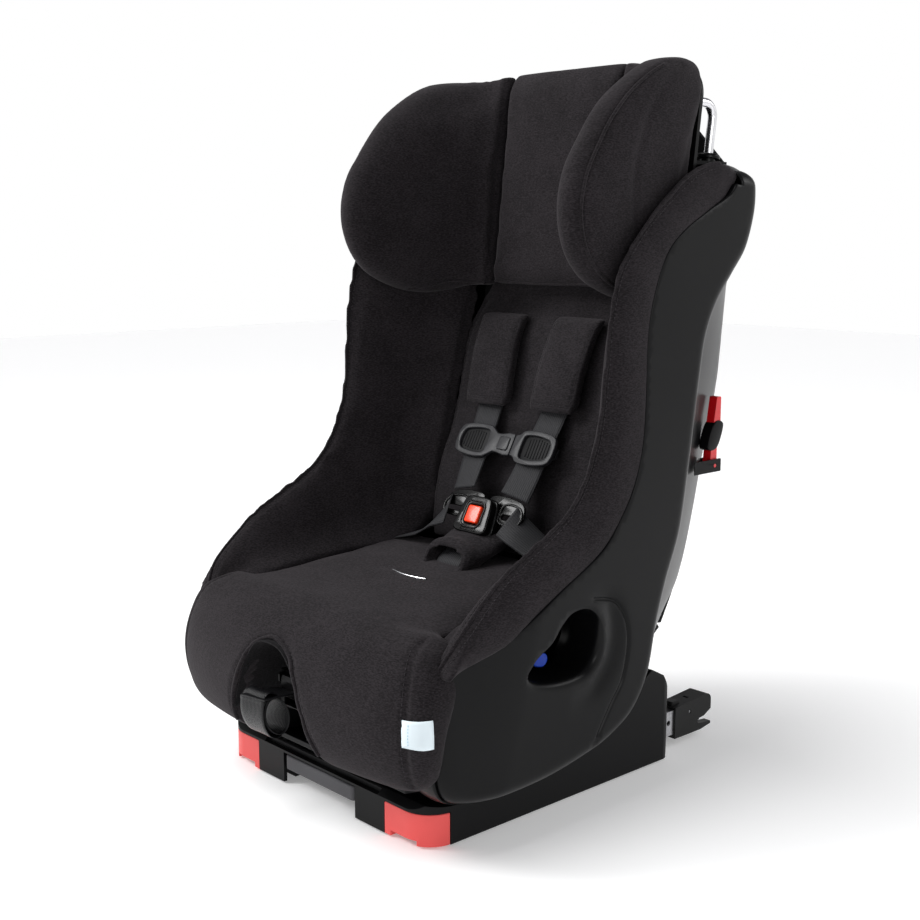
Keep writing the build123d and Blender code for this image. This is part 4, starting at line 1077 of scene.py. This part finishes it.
def make_headrest():
    front = curve(WING_FRONT, 64)
    rows = []
    for k, (fy, fz) in enumerate(front):
        share = k / (len(front) - 1)
        root_z = 508 + 238 * share
        tuck = max(0.0, (share - 0.8) / 0.2) ** 2
        rear_z = 505 + 238 * share - 5 * tuck
        root, rear = (head_y(root_z), root_z), (head_y(rear_z, HEAD_DEPTH - 2), rear_z)
        rows.append(wing_row((fy, fz - 3 * tuck), root, rear, tuck))
    wing = loft("headrest_wing_cover_right", rows)
    stuffed(wing, voxel=5.0, pressure=3.0, cap=3.5, rounds=4)
    # welt round the outer side of the wing
    outer = [(187, y + 5 + 3 * math.sin(k / 63 * math.pi), z) for k, (y, z) in enumerate(front)][2:-2]
    line = laid(wing, outer, 5, 160)
    groove(wing, line, 1.2, 3.0)
    welt = tube("headrest_wing_welt_right", laid(wing, line, 6, 160, 0.3), 1.7, 8)
    under = curve([(90, 140, 507), (115, 118, 503), (140, 98, 501), (160, 80, 505)], 30)
    hem = tube("headrest_wing_hem_right", laid(wing, under, 4, 60, 0.3), 1.5, 8)
    second = [(150, 735), (112, 706), (84, 662), (72, 610), (80, 560), (104, 520)]
    line, _ = on_surface(wing, curve([(188, y, z) for y, z in second], 60))
    groove(wing, line, 1.4, 5.0)
    seam = [(86, head_y(z) - 1, z) for z in np.linspace(512, 744, 50)]
    groove(wing, seam, 2.4, 5.0)
    for piece, fill in ((wing, 0.8), (welt, None), (hem, None)):
        twin = mirrored(piece, piece.name.replace("right", "left"))
        for part, side in ((twin, "left"), (piece, "right")):
            dress(part, "cover", "headrest", [f"headrest_wing_{side}"] if fill else ())
    rows = []
    levels = np.linspace(509, 749, 44)
    for k, z in enumerate(levels):
        low, high = min(1.0, k / 3), min(1.0, (len(levels) - 1 - k) / 5)
        roll = 7 * (1 - low) ** 2 + 13 * (1 - high) ** 2
        rows.append(slab_row(84.5, head_y(z) + roll, head_y(z, HEAD_DEPTH), z, crown=2.0, tuck=2.0))
    pad = loft("headrest_center_cover", rows)
    stuffed(pad, voxel=4.5, pressure=3.0, cap=3.0, rounds=3)
    for sign in (1, -1):
        groove(pad, [(sign * 84, head_y(z) - 1, z) for z in np.linspace(512, 744, 50)], 2.2, 5.0)
    dress(pad, "cover", "headrest", ["headrest_center_pad"])
    line = laid(pad, [(x, head_y(512) + 1, 510.5) for x in np.linspace(-82, 82, 40)], 4, 80, 0.3)
    dress(tube("headrest_center_hem", line, 1.5, 8), "cover", "headrest")


# ================================================================ harness
LEAN = math.radians(29)
LEAN_SIN, LEAN_COS = math.sin(LEAN), math.cos(LEAN)
BUCKLE_Y, BUCKLE_Z = 52, 268
WEB_WIDTH, WEB_THICK = 38, 2.0
OUT = np.array((0, -LEAN_COS, LEAN_SIN))


def harness(x, along, out=0.0):
    """Point in the plane of the lower straps: along it above the buckle, and out in front of it."""
    y = BUCKLE_Y + along * LEAN_SIN - out * LEAN_COS
    return (x, y, BUCKLE_Z + along * LEAN_COS + out * LEAN_SIN)


def strap_y(z):
    """Depth of the lower straps' plane at one height."""
    return BUCKLE_Y + (z - BUCKLE_Z) * LEAN_SIN / LEAN_COS


def ribbon(name, stations, width=WEB_WIDTH, thick=WEB_THICK, count=60, cup=0.6):
    """Webbing through stations of (centre, direction across, face normal), slightly cupped."""
    flat = curve([np.concatenate([np.array(p, float) for p in s]) for s in stations], count)
    rows = []
    for row in flat:
        centre, across, normal = row[:3], row[3:6], row[6:]
        across = across / np.linalg.norm(across)
        normal = normal - across * (normal @ across)
        normal /= np.linalg.norm(normal)
        ring = []
        for face in (1, -1):
            for share in np.linspace(-face, face, 9):
                lift = face * thick / 2 * (1 - 0.35 * share**8) - cup * share**2
                ring.append(centre + across * share * width / 2 + normal * lift)
        rows.append(ring)
    return loft(name, rows)


def make_straps():
    ahead = (0, -1, 0.25)
    stations = [
        ((52, 150, 470), (1, 0, 0), ahead), ((51, 132, 452), (1, 0, 0), ahead),
        ((50.5, 126, 419), (1, 0, 0), ahead),
        ((50, strap_y(379), 379), (1, 0, 0), OUT), ((45, strap_y(337), 337), (1, 0.02, -0.06), OUT),
        ((43, strap_y(312), 312), (1, 0.06, -0.12), OUT + np.array((0.10, 0, 0))),
        ((40, strap_y(288) - 1, 288), (1, 0.10, -0.22), OUT + np.array((0.25, 0, 0))),
    ]
    strap = ribbon("shoulder_web_right", stations, count=90)
    dress_pair(strap, "webbing", replaces="shoulder_strap_{side}")
    stations = [
        ((47, 44, 266), (0.25, 0.6, 0.75), (0.3, -0.8, 0.6)),
        ((63, 46, 256), (0.1, 0.8, 0.5), (0.5, -0.6, 0.8)),
        ((82, 52, 243), (0, 0.9, 0.35), (0.4, -0.4, 0.9)), ((100, 56, 232), (0, 1, 0.2), (0.5, -0.2, 1)),
        ((142, 62, 217), (0, 1, 0), (0.4, 0, 1)),
    ]
    hip = ribbon("hip_web_right", stations, count=50)
    hips = joined("hip_webs", [mirrored(hip, "hip_web_left"), hip])
    smooth_shaded(hips)
    dress(hips, "webbing", replaces=["hip_straps"])
    stations = [
        ((0, 6, 200), (1, 0, 0), (0, -1, 0.1)), ((0, 2, 213), (1, 0, 0), (0, -1, 0.3)),
        ((0, 8, 224), (1, 0, 0), (0, -0.7, 0.7)), ((0, 36, 239), (1, 0, 0), (0, -0.5, 0.8)),
    ]
    dress(ribbon("crotch_web", stations, count=40), "webbing", replaces=["crotch_strap"])


def make_shoulder_pads():
    stations = [(58, 147, 478), (56, 137, 459), (54, 126, 432), (52, 118, 405), (50.5, 110, 378)]
    path = curve(stations, 30)
    rows = []
    for k, (x, y, z) in enumerate(path):
        end = min(1.0, (len(path) - 1 - k) / 2.5)
        half, thick = 33.5 - 1.6 * (1 - end), 8.4 - 2.6 * (1 - end)
        high, corner = thick * 1.06, thick * 0.8
        ring = [(-half, 0), (-half + 2.5, -corner), (-half * 0.5, -high), (0, -thick * 1.12)]
        ring += [(half * 0.5, -high), (half - 2.5, -corner), (half, 0), (half - 2.5, corner)]
        ring += [(0, thick), (-half + 2.5, corner)]
        ring = curve(ring, 44, closed=True)
        rows.append([(x + u, y - 1.9 + v, z + v * 0.25) for u, v in ring])
    pad = loft("shoulder_pad_cover_right", rows)
    stuffed(pad, voxel=3.0, pressure=3.0, cap=1.6, rounds=2)
    line, _ = on_surface(pad, [(x, 101, 386) for x in np.linspace(24, 78, 30)])
    groove(pad, line, 0.7, 1.8, 0.2)
    lines = [topstitch("shoulder_pad_hem_right", pad, line, pitch=4.0)]
    for across in (-29, 29):
        edge = laid(pad, [(x + across, y - 10, z) for x, y, z in path[2:-2]], 4, 60)
        groove(pad, edge, 0.6, 1.6, 0.2)
        lines.append(topstitch(f"pad_edge_{across}", pad, edge))
    thread = joined("shoulder_pad_stitch_right", lines)
    dress_pair(pad, "insert", replaces="shoulder_pad_{side}")
    dress_pair(thread, "thread")


def make_crotch_pad():
    """Padded sleeve over the crotch strap, open at its lower end."""
    # y, z, half width and half thickness of each section
    stations = [(-6, 222, 33, 23), (4, 225, 36, 22), (20, 229, 38, 16), (44, 238, 41, 12), (70, 247, 42, 7)]
    rows = []
    for k, (y, z, half, thick) in enumerate(curve(stations, 26)):
        ring = []
        lean = np.array((0, 0.42 - 0.9 * min(1, k / 16), 0.9))
        for turn in np.linspace(0, 2 * math.pi, 48, endpoint=False):
            c, s = math.cos(turn), math.sin(turn)
            u = half * math.copysign(abs(c) ** 0.75, c)
            v = thick * math.copysign(abs(s) ** 0.8, s)
            ring.append(np.array((u, y, z)) + lean * v)
        rows.append(ring)
    inner = []
    for row in rows:
        centre = np.mean(row, axis=0)
        inner.append([centre + (np.array(p) - centre) * np.array((0.78, 0.62, 0.62)) for p in row])
    # turn the sleeve's wall inwards at its mouth
    sleeve = loft("crotch_pad_cover", [*rows[::-1], *inner[:12]])
    stuffed(sleeve, voxel=2.6, pressure=3.0, cap=1.5, rounds=3)
    dress(sleeve, "insert", replaces=["crotch_pad"])
    line = laid(sleeve, curve(rows[1], 60, closed=True), 3, 120, closed=True)
    groove(sleeve, line, 0.6, 1.6, 0.2)
    dress(topstitch("crotch_pad_stitch", sleeve, line[30:110]), "thread")


def make_buckle():
    right = [(25, -27), (26, -10), (22, 10), (14, 15)]
    left = [(-x, y) for x, y in right[::-1]]
    outline = curve([left[-1], (0, -29), *right, (0, 15.5), *left[:-1]], 56, closed=True)
    window = (0, -7)
    low = plate("buckle_low", outline, -8, 2.6, harness, 2.4)
    lip = [(x * 0.93, y * 0.95 - 0.4) for x, y in outline]
    high = plate("buckle_high", lip, 1.6, 11.2, harness, 2.6, [rounded_box(21.5, 21.5, 3, window)])
    frame_line = curve(rounded_box(29, 30, 7, window), 60, closed=True)
    ridge = [tube("buckle_ridge", [harness(x, y, 11.4) for x, y in frame_line], 1.1, 8, closed=True)]
    for along in (-22.5, -25):
        ridge.append(tube("buckle_bar", [harness(x, along, 11.2) for x in np.linspace(-11, 11, 12)], 0.9, 8))
    body = joined("buckle_case", [low, high, *ridge])
    dress(body, "buckle", replaces=["buckle_body"])
    button = plate("button_cap", rounded_box(19.6, 19.6, 2.6, window), 6.5, 12.6, harness, 1.3)
    dress(button, "button", "buckle_button", ["buckle_button"])
    outline = curve([
        (5, -4), (14, -3), (17, 8), (24, 12), (28, -6), (44, -10), (58, -7), (62, 4), (56, 16), (40, 21),
        (20, 22), (5, 18),
    ], 70, closed=True)
    slot = rounded_box(27, 5.5, 2.4, (43, -1))
    tongue = plate("tongue_plate_right", outline, -3.6, -0.4, harness, 0.9, [slot])
    loop = [(27, -3), (30, -8), (43, -9.5), (57, -7), (60.5, 2), (54, 11), (40, 14), (29, 11)]
    ring = curve(loop, 60, closed=True)
    rim = tube("tongue_rim", [harness(x, a, -0.2) for x, a in ring], 1.5, 8, closed=True)
    piece = joined("tongue_loop_right", [tongue, rim])
    dress_pair(piece, "buckle", "tongue_{side}", "tongue_{side}")


def make_chest_clip():
    centre = (337 - BUCKLE_Z) / LEAN_COS
    place = lambda x, a, o=0.0: harness(x, centre + a, o)
    outline = [
        (14, -12), (20, -13.5), (26, -18.5), (42, -20), (60, -18.5), (71, -15), (75, -8), (75.5, 0),
        (75, 8), (71, 15), (60, 18.5), (42, 20), (26, 18.5), (20, 13.5), (14, 12),
    ]
    wide = [(-x, y) for x, y in curve(outline[2:-2], 50)][::-1]
    rims = {
        "right": np.vstack([curve(outline, 60), [(13.7, 11), (13.7, -11)]]),
        "left": [(13.2, 12.5), (4, 13.5), (-6, 11.5), (-14, 11), *wide,
                 (-14, -11), (-6, -11.5), (4, -13.5), (13.2, -12.5)],
    }
    window = curve([
        (27, -9), (29.5, -13), (42, -14.2), (58, -12.6), (66.5, -9.5), (69, 0), (66.5, 9.5), (58, 12.6),
        (42, 14.2), (29.5, 13), (27, 9), (26.5, 0),
    ], 48, closed=True)
    for side, sign in SIDES.items():
        opening = [(sign * x, y) for x, y in window]
        shape = plate(f"clip_{side}", rims[side], 1.6, 6.6, place, 1.3, [opening])
        inset = [(sign * x, y * 1.04) for x, y in window]
        floor = plate(f"clip_floor_{side}", inset, 1.2, 3.4, place, 0.4)
        ribs = []
        for x in np.arange(35, 66, 4.2):
            reach = 11.5 - 0.012 * (x - 46) ** 2
            ribs.append(tube("rib", [place(sign * x, a, 3.4) for a in np.linspace(-reach, reach, 8)], 0.8, 6))
        back = plate(f"clip_back_{side}", rounded_box(58, 13, 3, (sign * 44, 0)), -5.8, -2.4, place, 0.8)
        piece = joined(f"chest_clip_shape_{side}", [shape, back])
        dress(piece, "clip", "chest_clip", [f"chest_clip_{side}"])
        grip = joined(f"chest_clip_grip_{side}", [floor, *ribs])
        dress(grip, "dark_clip", "chest_clip")
    button = plate("chest_button_cap", rounded_box(17, 16, 3), 3.2, 8.0, place, 1.2)
    dress(button, "clip", "chest_clip_button", ["chest_clip_button"])
    joint = tube("chest_clip_joint", [place(13.4, along, 6.6) for along in (-12, 0, 12)], 0.5, 6)
    dress(joint, "dark_clip", "chest_clip")


def make_adjuster_strap():
    """Webbing tail that comes out of the adjuster and is rolled up in the arch."""
    path = [(-188, 118), (-200, 121), (-212, 124)]
    centre_y, centre_z = -233.0, 108.0
    first, wound = 125, 800
    for turn in np.linspace(first, first + wound, 70):
        shrink = 1 - 0.36 * (turn - first) / wound
        angle = math.radians(turn)
        along, off = 26 * shrink * math.sin(angle), 15.5 * shrink * math.cos(angle)
        path.append((centre_y + off * 0.96 - along * 0.28, centre_z + along * 0.96 + off * 0.28))
    path = curve(path, 210)
    ahead = np.gradient(path, axis=0)
    stations = []
    for k in range(0, len(path), 3):
        (y, z), (dy, dz) = path[k], ahead[k]
        drift = -6 + 3.2 * math.sin(k * 0.045)
        stations.append(((drift, y, z), (1, 0.10 * math.sin(k * 0.05), 0.05), (0, -dz, dy)))
    strap = ribbon("adjuster_web", stations, width=36, thick=1.5, count=260, cup=0.4)
    dress(strap, "black_webbing", replaces=["adjuster_strap"])


def make_belt_guides():
    """Small coloured guides at the mouth of the belt path."""
    outline = curve([(-62, 165), (-50, 161), (-44, 166), (-46, 173), (-57, 175)], 24, closed=True)
    guides = []
    for side, sign in SIDES.items():
        place = lambda y, z, x: (sign * x, y, z)
        guides.append(plate(f"guide_{side}", outline, 186, 194, place, 1.6))
    dress(joined("belt_guide_tabs", guides), "guide", replaces=["belt_guides"])


def make_lockoff_grips():
    """Dark grip sleeve around the middle of each lock-off paddle."""
    outline = curve([(215, 342), (231, 341), (241, 366), (225, 368)], 32, closed=True)
    for side, sign in SIDES.items():
        place = lambda y, z, x: (sign * x, y, z)
        grip = plate(f"lockoff_grip_{side}", outline, 166.5, 179.5, place, 1.5)
        dress(grip, "shell", f"lockoff_{side}")


def make_tag():
    """Blank sewn label with a plain stripe."""
    pad = bpy.data.objects["cushion_cover"]
    count = 12
    shares = np.linspace(0, 1, count)
    flat = [(184 + 16 * u, -220 + 24 * u**2, z) for z in np.linspace(120, 146, count) for u in shares]
    outer, _ = on_surface(pad, flat, 1.6)
    inner, _ = on_surface(pad, flat, 0.7)
    outer, inner = outer.reshape(count, count, 3), inner.reshape(count, count, 3)
    tag = loft("side_tag_cloth", [[*face, *back[::-1]] for face, back in zip(outer, inner)])
    dress(tag, "tag", replaces=["side_tag"])
    stripe = topstitch("side_tag_stitch", tag, outer[1:-1, 2], pitch=2.6, length=1.8, radius=0.3)
    dress(stripe, "tag_edge")


# ================================================================ studio
FLOOR_REACH, FLOOR_GLOW = 6000, 0.22
SUN_ENERGY, SUN_ANGLE = 2.0, 40
CAMERA_AZIMUTH, CAMERA_ELEVATION = 47.61, 9.58
CAMERA_PLACE = (1.05993, -0.94797, 0.57130)
CAMERA_LENS, CAMERA_SENSOR = 53.18, 36


def make_studio():
    scene = bpy.context.scene
    scene.view_settings.view_transform = "Standard"
    world = bpy.data.worlds.new("studio")
    world.use_nodes = True
    tree = world.node_tree
    place = node(tree, "ShaderNodeTexCoord").outputs["Generated"]
    height = node(tree, "ShaderNodeSeparateXYZ")
    tree.links.new(place, height.inputs["Vector"])
    dome = ramp(tree, height.outputs["Z"], (1, 1, 1, 1), (0.2, 0.2, 0.21, 1), 0.16, 0.4)
    tree.links.new(dome, tree.nodes["Background"].inputs["Color"])
    tree.nodes["Background"].inputs["Strength"].default_value = 1.0
    scene.world = world
    corners = [(x * FLOOR_REACH, y * FLOOR_REACH, 0) for x, y in ((-1, -1), (1, -1), (1, 1), (-1, 1))]
    floor = build("floor", corners, [(0, 1, 2, 3)])
    paint, _, shader = new_material("pale_floor")
    shader.inputs["Base Color"].default_value = (0.9, 0.9, 0.9, 1)
    shader.inputs["Roughness"].default_value = 0.7
    shader.inputs["Emission Color"].default_value = (1, 1, 1, 1)
    shader.inputs["Emission Strength"].default_value = FLOOR_GLOW
    floor.data.materials.append(paint)
    sun = bpy.data.lights.new("sky_panel", "SUN")
    sun.energy = SUN_ENERGY
    sun.angle = math.radians(SUN_ANGLE)
    lamp = bpy.data.objects.new("sky_panel", sun)
    lamp.rotation_euler = Vector((-0.5, -0.55, 1.6)).to_track_quat("Z", "Y").to_euler()
    scene.collection.objects.link(lamp)
    lights = [
        ("key", (-1.6, -1.7, 1.8), 0.9, 44),
        ("fill", (2.5, -0.9, 1.3), 1.0, 15),
        ("rim", (1.3, 1.7, 1.5), 0.8, 9),
    ]
    aim = Vector((0, 0, 0.38))
    for name, place, size, power in lights:
        data = bpy.data.lights.new(name, "AREA")
        data.energy = power
        data.size = size
        lamp = bpy.data.objects.new(name, data)
        lamp.location = place
        lamp.rotation_euler = (aim - Vector(place)).to_track_quat("-Z", "Y").to_euler()
        scene.collection.objects.link(lamp)


def make_camera():
    """Three-quarter view from the seat's right front, a little above the cushion."""
    azimuth, elevation = math.radians(CAMERA_AZIMUTH), math.radians(CAMERA_ELEVATION)
    level = math.cos(elevation)
    back = Vector((math.sin(azimuth) * level, -math.cos(azimuth) * level, math.sin(elevation)))
    data = bpy.data.cameras.new("camera")
    data.lens = CAMERA_LENS
    data.sensor_width = CAMERA_SENSOR
    camera = bpy.data.objects.new("camera", data)
    camera.location = CAMERA_PLACE
    camera.rotation_euler = back.to_track_quat("Z", "Y").to_euler()
    bpy.context.scene.collection.objects.link(camera)
    bpy.context.scene.camera = camera


make_camera()
make_studio()
paint_frame()
make_side_shells()
make_bolsters()
make_cushion()
make_back_pad()
make_headrest()
make_straps()
make_shoulder_pads()
make_crotch_pad()
make_buckle()
make_chest_clip()
make_adjuster_strap()
make_tag()
make_belt_guides()
make_lockoff_grips()
